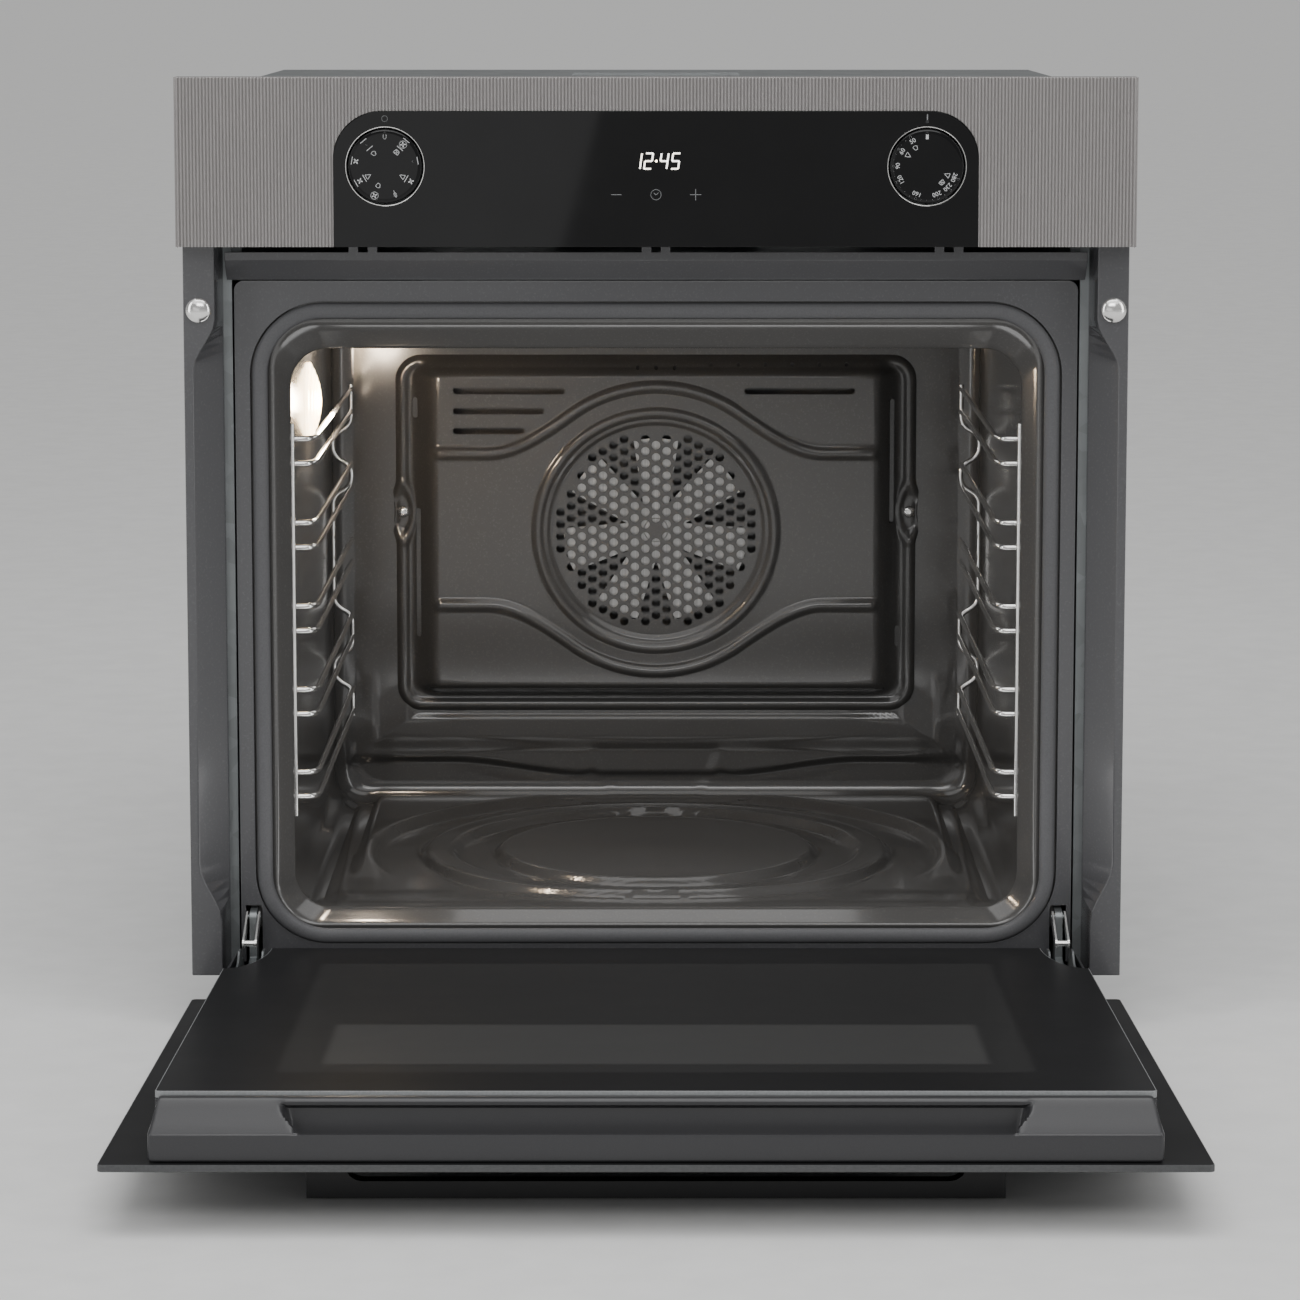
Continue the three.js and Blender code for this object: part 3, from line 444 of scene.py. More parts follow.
def rounded_rectangle(half, floor, ceiling, radius, corner=8, flat=(1, 1)):
    """Points round a rectangle in x and z. flat gives the steps along its level and upright sides."""
    points = []
    corners = ((1, -1, -90), (1, 1, 0), (-1, 1, 90), (-1, -1, 180))
    for number, (side, up, start) in enumerate(corners):
        centre_x = side * (half - radius)
        centre_z = ceiling - radius if up > 0 else floor + radius
        for i in range(corner + 1):
            angle = math.radians(start + 90 * i / corner)
            points.append((centre_x + radius * math.cos(angle), centre_z + radius * math.sin(angle)))
        after, steps = points[-1], flat[(number + 1) % 2]
        following = corners[(number + 1) % 4]
        next_x = following[0] * (half - radius) + radius * math.cos(math.radians(following[2]))
        next_z = (ceiling - radius if following[1] > 0 else floor + radius)
        next_z += radius * math.sin(math.radians(following[2]))
        for i in range(1, steps):
            share = i / steps
            points.append((after[0] + (next_x - after[0]) * share, after[1] + (next_z - after[1]) * share))
    return points


def ease(low, high, value):
    """0 below low, 1 above high, and an S-curve between."""
    share = min(max((value - low) / (high - low), 0.0), 1.0)
    return share * share * (3 - 2 * share)


def polar(radius, degrees):
    """The point at a radius and an angle."""
    return radius * math.cos(math.radians(degrees)), radius * math.sin(math.radians(degrees))


def arc(centre, radius, start, end, steps):
    """Points on a circle between two angles in degrees."""
    points = [polar(radius, start + (end - start) * i / steps) for i in range(steps + 1)]
    return [(centre[0] + x, centre[1] + y) for x, y in points]


def flat_sheet(outlines, front, thickness, edge=0.0):
    """A bmesh of a sheet facing the user, cut to the first outline with the others as holes."""
    curve = bpy.data.curves.new("outline", "CURVE")
    curve.dimensions = "2D"
    curve.fill_mode = "BOTH"
    curve.extrude = thickness / 2
    for outline in outlines:
        spline = curve.splines.new("POLY")
        spline.points.add(len(outline) - 1)
        for point, (x, z) in zip(spline.points, outline):
            point.co = (x, z, 0, 1)
        spline.use_cyclic_u = True
    mesh = mesh_of_curve(curve)
    bm = bmesh.new()
    bm.from_mesh(mesh)
    bpy.data.meshes.remove(mesh)
    bmesh.ops.remove_doubles(bm, verts=bm.verts, dist=1e-3)
    bmesh.ops.dissolve_limit(bm, angle_limit=math.radians(1), verts=bm.verts, edges=bm.edges)
    stand_up = Matrix.Translation((0, front + thickness / 2, 0)) @ Matrix.Rotation(math.pi / 2, 4, "X")
    bmesh.ops.transform(bm, matrix=stand_up, verts=bm.verts)
    if edge:
        round_edges(bm, edge)
    return bm


def turn(bm, profile, place, sides=48):
    """Turns a profile of (radius, height) points about the height axis, then puts it in place."""
    rings = []
    for radius, height in profile:
        ring = arc((0, 0), max(radius, 0.01), 0, 360 - 360 / sides, sides - 1)
        rings.append([place @ Vector((x, y, height)) for x, y in ring])
    close_ends(bm, skin(bm, rings))


def facing_user(x, y, z):
    """A place whose height axis points at the user, for turned parts on the front."""
    return Matrix.Translation((x, y, z)) @ Matrix.Rotation(math.pi / 2, 4, "X")


def wire(bm, route, radius, bend=0.0, sides=12):
    """A round wire along a route of points, with each inner corner bent to a radius."""
    route = [Vector(point) for point in route]
    path = [route[0]]
    for before, here, after in zip(route, route[1:], route[2:]):
        back, ahead = (before - here), (after - here)
        reach = min(bend, back.length * 0.48, ahead.length * 0.48)
        start, end = here + back.normalized() * reach, here + ahead.normalized() * reach
        for i in range(7):
            t = i / 6
            path.append(start.lerp(here, t).lerp(here.lerp(end, t), t))
    path.append(route[-1])
    side = (path[1] - path[0]).orthogonal().normalized()
    rings = []
    for number, point in enumerate(path):
        ahead = path[min(number + 1, len(path) - 1)] - path[max(number - 1, 0)]
        ahead.normalize()
        side = (side - ahead * side.dot(ahead)).normalized()
        other = ahead.cross(side)
        ring = arc((0, 0), radius, 0, 360 - 360 / sides, sides - 1)
        rings.append([point + side * a + other * b for a, b in ring])
    close_ends(bm, skin(bm, rings))


def dressed(node, material, width=0.35, segments=2, angle=35):
    """The CAD node's own shape with its flat faces merged and its edges rounded. A width of 0 keeps
    the edges sharp, for a thin sheet with round holes, where a bevel would pull slivers."""
    bm = bmesh.new()
    bm.from_mesh(frame["nodes"][node].data)
    bmesh.ops.scale(bm, vec=(1 / MM, 1 / MM, 1 / MM), verts=bm.verts)
    bmesh.ops.remove_doubles(bm, verts=bm.verts, dist=2e-3)
    bmesh.ops.dissolve_limit(bm, angle_limit=math.radians(1), verts=bm.verts, edges=bm.edges)
    if width:
        round_edges(bm, width, segments, angle)
    body = frame["nodes"][node]["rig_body"]
    return piece(node + "_finished", bm, material, body, [node], Matrix.Identity(4))


print("helpers ready")

# %% [markdown]
# The control panel is a tray of coated steel whose face is rolled into fine upright ribs, 2.1 mm
# apart. They are real relief here: at an angle they shade each other, which no bump map does. Each
# rib is six columns of points. The columns stop at the outline of the glass insert, so the opening
# with its two round corners comes out of the same grid.

# %% Ribbed control panel
PANEL_HALF, PANEL_BOTTOM, PANEL_TOP, PANEL_FRONT = 298.5, 487, 592, -22
INSERT_HALF, INSERT_TOP, INSERT_RADIUS = 200, 571, 30
RIB_PITCH, RIB_DEPTH, RIB_STEPS = 2.1, 0.8, 6
EDGE, INSERT_GAP, OPENING_DEPTH = 0.7, 0.3, 4
RETURN_DEPTH, PANEL_BACK = 20.5, -0.3


def insert_top(x):
    """Height of the insert's outline at x, or None beside it."""
    half, top = INSERT_HALF + INSERT_GAP, INSERT_TOP + INSERT_GAP
    if abs(x) > half:
        return None
    over = abs(x) - (half - INSERT_RADIUS)
    if over <= 0:
        return top
    return top - INSERT_RADIUS + math.sqrt(max(INSERT_RADIUS ** 2 - over ** 2, 0))


bm = bmesh.new()
face_half = PANEL_HALF - EDGE
rib_count = round(2 * face_half / RIB_PITCH)
shoulder = INSERT_TOP + INSERT_GAP - INSERT_RADIUS
columns = {round(-face_half + 2 * face_half * i / (rib_count * RIB_STEPS), 4)
           for i in range(rib_count * RIB_STEPS + 1)}
columns |= {-(INSERT_HALF + INSERT_GAP), INSERT_HALF + INSERT_GAP}
previous = None
for x in sorted(columns):
    phase = (x + face_half) / (2 * face_half) * rib_count * 2 * math.pi
    y = PANEL_FRONT + RIB_DEPTH * (0.5 + 0.5 * math.cos(phase)) ** 1.4
    inside = insert_top(x)
    middle = shoulder if inside is None else max(inside, shoulder)
    column = [bm.verts.new((x, y, z)) for z in (middle, PANEL_TOP - EDGE)]
    low = bm.verts.new((x, y, PANEL_BOTTOM)) if abs(x) > INSERT_HALF else None
    if previous:
        bm.faces.new((previous[0][0], column[0], column[1], previous[0][1]))
        if low and previous[1]:
            bm.faces.new((previous[1], low, column[0], previous[0][0]))
    previous = (column, low)
rim = [e for e in bm.edges if e.is_boundary]
for depth, rounding in ((EDGE, True), (RETURN_DEPTH, False)):
    grown = bmesh.ops.extrude_edge_only(bm, edges=rim)["geom"]
    for vert in (v for v in grown if isinstance(v, bmesh.types.BMVert)):
        x, y, z = vert.co
        in_opening = abs(x) < INSERT_HALF + 1 and z < PANEL_TOP - 5
        if in_opening:
            vert.co.y = min(y + depth, PANEL_FRONT + OPENING_DEPTH)
            continue
        vert.co.y = PANEL_FRONT + EDGE if rounding else PANEL_BACK
        if abs(x) > face_half - 0.01 and rounding:
            vert.co.x = math.copysign(PANEL_HALF, x)
        if z > PANEL_TOP - EDGE - 0.01 and rounding:
            vert.co.z = PANEL_TOP
    rim = [e for e in grown if isinstance(e, bmesh.types.BMEdge)]
panel = piece("ribbed_panel", bm, ribbed_steel, "housing", ["fascia"])
thick = panel.modifiers.new("sheet", "SOLIDIFY")
thick.thickness = 1.2 * MM
thick.offset = -1
panel.modifiers.move(1, 0)
print("ribs:", rib_count, "faces:", len(panel.data.polygons))

# %% [markdown]
# The insert is one pane of black glass with its edges ground round. Two 50 mm holes take the dials.
# The dials are discs of the same glass, a hair proud of the pane, in thin chromed rings. Each has a
# small pip near its rim that turns with it, above the mark for "off".

# %% Glass insert, rings and dials
DIAL_X, DIAL_Z, DIAL_RADIUS, RING_RADIUS, DIAL_PROUD = 168, 537, 23.1, 24.6, 0.2
outline = [(-INSERT_HALF, PANEL_BOTTOM), (INSERT_HALF, PANEL_BOTTOM)]
shoulder_z = INSERT_TOP - INSERT_RADIUS
outline += arc((INSERT_HALF - INSERT_RADIUS, shoulder_z), INSERT_RADIUS, 0, 90, 16)
outline += arc((-INSERT_HALF + INSERT_RADIUS, shoulder_z), INSERT_RADIUS, 90, 180, 16)
bores = [arc((side * DIAL_X, DIAL_Z), RING_RADIUS + 0.2, 0, 355, 71) for side in (-1, 1)]
bm = flat_sheet([outline, *bores], PANEL_FRONT, 3.4, 0.35)
piece("glass_insert", bm, black_glass, "housing", ["control_glass"])

dial_parts = (("function", -1), ("temperature", 1))
for dial, side in dial_parts:
    bm = bmesh.new()
    rim = [(RING_RADIUS - 0.5, 3.6), (RING_RADIUS, 3.6), (RING_RADIUS, -0.1), (RING_RADIUS - 0.12, -0.22),
           (RING_RADIUS - 0.38, -0.22), (RING_RADIUS - 0.5, -0.1)]
    at_dial = facing_user(side * DIAL_X, PANEL_FRONT, DIAL_Z)
    rings = []
    for radius, depth in rim:
        ring = arc((0, 0), radius, 0, 355, 71)
        rings.append([at_dial @ Vector((x, y, -depth)) for x, y in ring])
    skin(bm, rings, closed=True)
    piece(dial + "_ring", bm, chrome, "housing", [dial + "_bezel"])

    bm = bmesh.new()
    knob = [(6.5, -29), (6.5, -20), (21.0, -20), (DIAL_RADIUS, -20), (DIAL_RADIUS, -1.0),
            (DIAL_RADIUS - 0.25, -0.3), (DIAL_RADIUS - 0.9, 0.15), (DIAL_RADIUS - 3.0, DIAL_PROUD),
            (0.01, DIAL_PROUD)]
    turn(bm, knob, at_dial, 72)
    pip = facing_user(side * DIAL_X, PANEL_FRONT - DIAL_PROUD, DIAL_Z + DIAL_RADIUS - 2.6)
    turn(bm, [(1.0, -0.4), (1.0, 0.0), (0.8, 0.16), (0.01, 0.18)], pip, 16)
    piece(dial + "_dial_face", bm, black_glass, dial + "_dial", [dial + "_knob"])
print("dials at x =", [side * DIAL_X for _, side in dial_parts])

# %% [markdown]
# The marks are screen-printed in white ink, a few hundredths of a millimetre thick. Each symbol is a
# few strokes drawn on a small local sheet, and is stood on the glass by a matrix. On the dials a
# symbol's top points at the rim, so one loop with an angle lays them all out. The display has seven
# segments to a figure. Its lit ones are laid on the glass, as thin as the ink.

# %% White ink: strokes and symbols
white_ink = grained("white_screen_ink", "#B2B3B4", "#C0C1C2", 0.6, 0.5, 0.0)
grey_ink = grained("grey_screen_ink", "#77787A", "#838486", 0.6, 0.5, 0.0)
INK = 0.05


def stroke(bm, points, width, place):
    """A flat line of ink through points (right, up) on the local sheet."""
    for start, end in zip(points, points[1:]):
        start, end = Vector((*start, 0)), Vector((*end, 0))
        along = (end - start).normalized() * width * 0.35
        side = Vector((-along.y, along.x, 0)).normalized() * width / 2
        base = [start - along - side, end + along - side, end + along + side, start - along + side]
        rings = [[place @ (p + Vector((0, 0, lift))) for p in base] for lift in (0, INK)]
        close_ends(bm, skin(bm, rings))


def number(bm, text, size, place):
    """Figures from Blender's own font, centred on the local sheet."""
    curve = bpy.data.curves.new("figures", "FONT")
    curve.body = text
    curve.size = size
    curve.align_x = "CENTER"
    curve.align_y = "CENTER"
    curve.extrude = INK / 2
    curve.resolution_u = 3
    mesh = mesh_of_curve(curve)
    mesh.transform(place @ Matrix.Translation((0, 0, INK / 2)))
    bm.from_mesh(mesh)
    bpy.data.meshes.remove(mesh)


def circle(bm, radius, width, place, steps=20):
    stroke(bm, arc((0, 0), radius, 0, 360, steps), width, place)


def symbol(bm, kind, place):
    """One small symbol about 4 mm across."""
    if kind == "bar":
        stroke(bm, [(-2.3, 0), (2.3, 0)], 0.40, place)
    elif kind == "dot":
        circle(bm, 0.25, 0.36, place, 8)
    elif kind in ("cross", "fan"):
        for angle in (45, 135):
            reach = arc((0, 0), 1.5, angle, angle + 180, 1)
            stroke(bm, reach, 0.72, place)
        if kind == "fan":
            circle(bm, 2.3, 0.32, place)
    elif kind == "slice":
        stroke(bm, [(-1.6, 1.4), (0, -1.9), (1.6, 1.4), (-1.6, 1.4)], 0.32, place)
    elif kind == "roast":
        stroke(bm, [(-1.7, -1.2), (1.7, -1.2), (1.3, 1.2), (-1.3, 1.2), (-1.7, -1.2)], 0.32, place)
        stroke(bm, [(-1.3, 1.2), (1.3, -1.2)], 0.30, place)
        stroke(bm, [(1.3, 1.2), (-1.3, -1.2)], 0.30, place)
    elif kind == "tap":
        stroke(bm, [(-1.5, 0.9), (0, 1.4), (1.4, 0.6), (0.6, -1.5), (-0.9, -1.2), (-1.5, 0.9)], 0.30, place)
    elif kind == "leaf":
        stroke(bm, arc((-1.4, 0), 2.2, -50, 50, 6), 0.36, place)
        stroke(bm, arc((1.4, 0), 2.2, 130, 230, 6), 0.36, place)
        stroke(bm, [(0, -2.6), (0, 1.0)], 0.30, place)
    elif kind == "zero":
        stroke(bm, [(1.0 * a, 1.8 * b) for a, b in arc((0, 0), 1, 0, 360, 16)], 0.36, place)


def on_dial(side, radius, angle, tilt=0.0):
    """The local sheet at a radius and angle on a dial's face, its top towards the rim."""
    face = facing_user(side * DIAL_X, PANEL_FRONT - DIAL_PROUD, DIAL_Z)
    spot = Matrix.Translation((*polar(radius, angle), 0))
    return face @ spot @ Matrix.Rotation(math.radians(angle - 90 + tilt), 4, "Z")


# %% Marks on the dials
function_marks = (
    (("zero", 18.6),),
    (("bar", 20.6), ("dot", 17.4), ("bar", 14.6), ("tap", 10.6)),
    (("bar", 20.8), ("cross", 18.2)),
    (("bar", 20.8), ("cross", 17.9), ("bar", 14.6), ("slice", 12.0)),
    (("fan", 19.2), ("tap", 12.6)),
    (("leaf", 18.6),),
    (("cross", 18.6), ("bar", 15.2), ("slice", 12.4)),
    (("bar", 20.6), ("dot", 17.6)),
    (("bar", 20.9), ("fan", 17.6), ("bar", 14.6), ("roast", 11.4)),
)
bm = bmesh.new()
for position, marks in enumerate(function_marks):
    angle = 90 + 40 * position
    for kind, radius in marks:
        symbol(bm, kind, on_dial(-1, radius, angle))
piece("function_marks", bm, white_ink, "function_dial")

bm = bmesh.new()
LARGE_MARKS = ((120, "50"), (149, "60"), (179, "90"), (207, "120"), (250, "160"), (290, "200"),
               (315, "230"), (338, "280"))
for angle, text in LARGE_MARKS:
    circle(bm, 0.32, 0.7, on_dial(1, 20.9, angle), 8)
    number(bm, text, 3.9, on_dial(1, 18.0, angle))
for (angle, _), (following, _) in zip(LARGE_MARKS, LARGE_MARKS[1:]):
    gaps = max(2, round((following - angle) / 10))
    for i in range(1, gaps):
        circle(bm, 0.12, 0.3, on_dial(1, 20.9, angle + (following - angle) * i / gaps), 6)
for kind, angle in (("tap", 122), ("slice", 150), ("roast", 313), ("slice", 337)):
    symbol(bm, kind, on_dial(1, 13.6, angle))
stroke(bm, [(0, -1.4), (0, 1.4)], 1.7, on_dial(1, 18.8, 90))
piece("temperature_marks", bm, white_ink, "temperature_dial")
print("symbols on the left dial:", sum(len(marks) for marks in function_marks))

# %% Marks on the insert and the clock
bm = bmesh.new()
TOUCH_Z, TOUCH_SPACING, CLOCK_Z = 519.5, 24.6, 540.3
symbol_left = facing_user(-TOUCH_SPACING, PANEL_FRONT, TOUCH_Z)
symbol_right = facing_user(TOUCH_SPACING, PANEL_FRONT, TOUCH_Z)
stroke(bm, [(-3.0, 0), (3.0, 0)], 0.35, symbol_left)
stroke(bm, [(-3.4, 0), (3.4, 0)], 0.35, symbol_right)
stroke(bm, [(0, -3.4), (0, 3.4)], 0.35, symbol_right)
clock = facing_user(0, PANEL_FRONT, TOUCH_Z)
circle(bm, 3.2, 0.4, clock, 28)
stroke(bm, [(-1.2, 1.0), (0, -0.2), (1.4, 1.1)], 0.35, clock)
over_left = facing_user(-DIAL_X, PANEL_FRONT, DIAL_Z + 29.5)
circle(bm, 1.8, 0.3, over_left, 20)
over_right = facing_user(DIAL_X, PANEL_FRONT, DIAL_Z + 29.5)
stroke(bm, [(0, -1.0), (0, 2.4)], 0.7, over_right)
circle(bm, 0.6, 0.6, facing_user(DIAL_X, PANEL_FRONT, DIAL_Z + 27.6), 10)
piece("touch_marks", bm, grey_ink, "housing")

SEGMENTS = {
    "top": ((-1, 2), (1, 2)), "middle": ((-1, 0), (1, 0)), "bottom": ((-1, -2), (1, -2)),
    "left_up": ((-1, 0), (-1, 2)), "right_up": ((1, 0), (1, 2)),
    "left_down": ((-1, -2), (-1, 0)), "right_down": ((1, -2), (1, 0)),
}
DIGITS = {
    "1": ("right_up", "right_down"),
    "2": ("top", "right_up", "middle", "left_down", "bottom"),
    "4": ("left_up", "right_up", "middle", "right_down"),
    "5": ("top", "left_up", "middle", "right_down", "bottom"),
}
bm = bmesh.new()
slant = Matrix.Identity(4)
slant[0][1] = 0.14
short = 0.82
for digit, x in zip("1245", (-11.5, -4.6, 5.0, 12.2)):
    spot = facing_user(x, PANEL_FRONT, CLOCK_Z) @ slant
    for segment in DIGITS[digit]:
        (x0, y0), (x1, y1) = SEGMENTS[segment]
        middle = ((x0 + x1) / 2, (y0 + y1) / 2)
        ends = [((px - middle[0]) * short + middle[0], (py - middle[1]) * short + middle[1])
                for px, py in ((x0, y0), (x1, y1))]
        stroke(bm, [(px * 2.2, py * 2.4) for px, py in ends], 1.05, spot)
circle(bm, 0.3, 0.8, facing_user(0.2, PANEL_FRONT, CLOCK_Z), 8)
piece("clock_figures", bm, display_light, "housing")
print("clock figures made")

# %% [markdown]
# The enamelled front is a pressed sheet with a turned-back skirt, two slots for the hinges and a
# round-cornered hole for the cavity. The pillars beside it are folded sheets that bear on the
# cabinet, and narrow in an S where the cabinet's front shows. Between control panel and front sits
# the cooling air's outlet. The CAD shapes of pillars and outlet are right, so only their edges are
# rounded. The front is drawn again because its corners need more points. Its skirt is open at the
# foot, where the cavity's mouth reaches lower than the skirt's ends.

# %% Enamelled front, pillars and air outlet
FRAME_FRONT, FRAME_HALF, FRAME_LOW, FRAME_HIGH, FRAME_CORNER = 20, 266.7, 24, 463, 6
SKIRT_FRONT, SKIRT_BACK, SKIRT_FOOT, SHEET = 21, 31, 66, 1.2
SLOT_IN, SLOT_OUT, SLOT_TOP = 253.2, 263.6, 61
outline = [(-FRAME_HALF, FRAME_LOW), (-SLOT_OUT, FRAME_LOW), (-SLOT_OUT, SLOT_TOP), (-SLOT_IN, SLOT_TOP),
           (-SLOT_IN, FRAME_LOW), (SLOT_IN, FRAME_LOW), (SLOT_IN, SLOT_TOP), (SLOT_OUT, SLOT_TOP),
           (SLOT_OUT, FRAME_LOW), (FRAME_HALF, FRAME_LOW)]
corner_x, corner_z = FRAME_HALF - FRAME_CORNER, FRAME_HIGH - FRAME_CORNER
outline += arc((corner_x, corner_z), FRAME_CORNER, 0, 90, 6)
outline += arc((-corner_x, corner_z), FRAME_CORNER, 90, 180, 6)
mouth_hole = rounded_rectangle(257, 36, 450, 47, 16)
bm = flat_sheet([outline, mouth_hole], FRAME_FRONT, SHEET, 0.5)
skirt = []
for inset in (0.0, SHEET):
    path = [(FRAME_HALF - inset, SKIRT_FOOT)]
    path += arc((corner_x, corner_z), FRAME_CORNER - inset, 0, 90, 6)
    path += arc((-corner_x, corner_z), FRAME_CORNER - inset, 90, 180, 6)
    skirt.append(path + [(inset - FRAME_HALF, SKIRT_FOOT)])
rings = []
for outer, inner in zip(*skirt):
    section = ((outer, SKIRT_FRONT), (outer, SKIRT_BACK), (inner, SKIRT_BACK), (inner, SKIRT_FRONT))
    rings.append([(x, y, z) for (x, z), y in section])
close_ends(bm, skin(bm, rings))
piece("enamelled_front", bm, front_enamel, "housing", ["front_frame"])

for side in ("left", "right"):
    dressed("pillar_" + side, front_enamel, 1.3, 3, 20)
dressed("air_outlet", front_enamel, 0.3)
print("front and pillars made")

# %% Screw plugs and gasket
dome = [(3.1, 0.2), (3.1, 1.7), (7.6, 1.7), (8.0, 2.1)]
dome += [(8.0 * out, 2.1 + 3.3 * up) for out, up in arc((0, 0), 1, 10, 80, 7)]
dome.append((0.01, 5.4))
for name, side in SIDES:
    bm = bmesh.new()
    turn(bm, dome, facing_user(side * 287, 0, 446), 40)
    piece("screw_plug_" + name, bm, chrome, "housing", ["pillar_plug_" + name])

bm = bmesh.new()
bulb = [(-4.8, 21.6), (-4.8, 20.4), (-4.1, 18.9), (-2.4, 17.9), (0, 17.6), (2.4, 17.9), (4.1, 18.9),
        (4.8, 20.4), (4.8, 21.6)]
rings = []
for out, y in bulb:
    ring = rounded_rectangle(250.8 + out, 41 - out, 444 + out, 40 + out, 14, (6, 5))
    rings.append([(x, y, z) for x, z in ring])
skin(bm, rings, closed=True)
piece("door_gasket", bm, rubber, "housing", ["door_seal"])
print("gasket made")

# %% [markdown]
# The cavity is one deep-drawn and welded shell. Its mouth is rolled out over a crest that the gasket
# closes against. The floor carries embossed rings, which stiffen it against the heat, on a plateau
# with a round-cornered rear edge, and the rear wall stands a little proud down to a waved edge. All
# of it is one grid of rings, from the flange to the middle of the rear wall, and every point is then
# pushed by a few smooth steps. Sculpting would give the same shapes but not the same ones each time.

# %% Cavity shell
HALF, FLOOR, CEILING, BACK = 235, 50, 424, 433
WALL_START, RING_CENTRE_Y, REAR_RADIUS, DEPTH_STEPS = 54, 238, 14, 150


def floor_relief(x, y):
    """Height of the embossed floor above its plain level."""
    away = math.hypot(x, y - RING_CENTRE_Y)
    rear = ease(150, 260, y)
    height = 5.5 * (1 - ease(106, 113, away))
    height += 5.5 * ease(135, 141, away) * (1 - ease(157, 164, away))
    plateau = ease(190, 198, away) * (1 - ease(200, 208, abs(x))) * (1 - ease(418, 426, y))
    height += 7.0 * plateau * rear
    gutter = ease(215, 220, abs(x)) * (1 - ease(226, 231, abs(x)))
    height -= 3.0 * gutter * ease(66, 78, y) * (1 - ease(408, 420, y))
    return height


def rear_edge(x):
    """Height of the waved edge at the foot of the rear wall."""
    return 72 + 10.5 * ease(48, 150, abs(x)) + 1.8 * (ease(42, 47, abs(x)) - ease(47, 56, abs(x)))


def rear_relief(x, z):
    """How far the rear wall stands proud of the shell."""
    proud = 4.0 * ease(rear_edge(x) - 4, rear_edge(x) + 1.5, z)
    proud -= 0.8 * (1 - ease(36 + 0.4 * (z - 72), 41 + 0.4 * (z - 72), abs(x))) * (1 - ease(88, 95, z))
    step = 2.2 * (1 - ease(112.5, 115.5, z)) * ease(86, 100, z)
    return proud + step


def shell_ring(half, floor, ceiling, radius):
    return rounded_rectangle(half, floor, ceiling, radius, 10, (150, 16))


sizes = {
    "flange": (262, 31, 456, 38), "crest": (243.4, 47.7, 438, 27),
    "mouth": (233, 55.5, 418.5, 24), "cavity": (HALF, FLOOR, CEILING, 22),
}
lip = [("flange", "crest", 0.0, 25.0), ("flange", "crest", 0.45, 25.0), ("flange", "crest", 0.68, 24.6),
       ("flange", "crest", 0.84, 23.4), ("flange", "crest", 0.94, 22.3), ("flange", "crest", 1.0, 22.0),
       ("crest", "mouth", 0.08, 22.2), ("crest", "mouth", 0.2, 23.4), ("crest", "mouth", 0.4, 27.2),
       ("crest", "mouth", 0.65, 32.2), ("crest", "mouth", 0.85, 36.0), ("crest", "mouth", 0.96, 38.4),
       ("crest", "mouth", 1.0, 40.4), ("mouth", "cavity", 0.15, 42.4), ("mouth", "cavity", 0.5, 46.0),
       ("mouth", "cavity", 0.85, 50.0), ("mouth", "cavity", 1.0, WALL_START)]
rings = []
for outer, inner, share, y in lip:
    size = [a + (b - a) * share for a, b in zip(sizes[outer], sizes[inner])]
    rings.append([(x, y, z) for x, z in shell_ring(*size)])
for i in range(1, DEPTH_STEPS + 1):
    y = WALL_START + (BACK - REAR_RADIUS - WALL_START) * i / DEPTH_STEPS
    rings.append([(x, y, z) for x, z in shell_ring(*sizes["cavity"])])
for i in range(1, 7):
    angle = math.radians(15 * i)
    inset = REAR_RADIUS * (1 - math.cos(angle))
    y = BACK - REAR_RADIUS + REAR_RADIUS * math.sin(angle)
    ring = shell_ring(HALF - inset, FLOOR + inset, CEILING - inset, 22)
    rings.append([(x, y, z) for x, z in ring])
last = rings[-1]
middle_z = (FLOOR + CEILING) / 2
shares = [1 - 0.3 * i / 40 for i in range(1, 41)] + [0.7 - 0.7 * i / 10 for i in range(1, 10)]
for share in shares:
    rings.append([(x * share, BACK, middle_z + (z - middle_z) * share) for x, y, z in last])

pushed = []
for ring in rings:
    moved = []
    for x, y, z in ring:
        if y > 40.2:
            z = max(z, FLOOR + 5.5 * (1 - ease(40, 125, y)))
        if WALL_START <= y < BACK - 0.01 and z < FLOOR + 16:
            z += floor_relief(x, y) * (1 - ease(FLOOR + 6, FLOOR + 16, z))
        if y > BACK - REAR_RADIUS:
            y -= rear_relief(x, z) * ease(BACK - REAR_RADIUS, BACK, y)
        moved.append((x, y, z))
    pushed.append(moved)
bm = bmesh.new()
loops = skin(bm, pushed)
bm.faces.new(loops[-1])
shell = piece("cavity_shell", bm, cavity_enamel, "housing", ["cavity_liner"])
for polygon in shell.data.polygons:
    polygon.use_smooth = True
print("cavity shell:", len(shell.data.polygons), "faces")

# %% [markdown]
# The fan cover is pressed from one sheet: a raised panel, steep sides, a foot with a rolled bead and
# stiffening beads that sweep round the fan. Its mesh is a fan of rays from the round opening to the
# outline, pushed by the same kind of smooth steps as the cavity. Slots are cut afterwards with a
# Boolean, because a grid would leave their ends ragged. The perforated disc is a filled 2D curve,
# where each hole is one more outline.

# %% Fan cover: relief
COVER_OUTLINE = {"half": 191, "low": 116.5, "high": 381.5, "radius": 20}
COVER_FRONT = 412
PANEL_SIDE, PANEL_LOW, PANEL_HIGH = 158, 141, 365
FOOT_SIDE, FOOT_LOW, FOOT_HIGH, FOOT_Y = 178, 129, 378, 429
FAN_Z, DISC_RADIUS, HOLE_RADIUS, HOLE_PITCH = 253, 76, 3.15, 8.9
SCREW_X, SCREW_Z = 184.5, 265


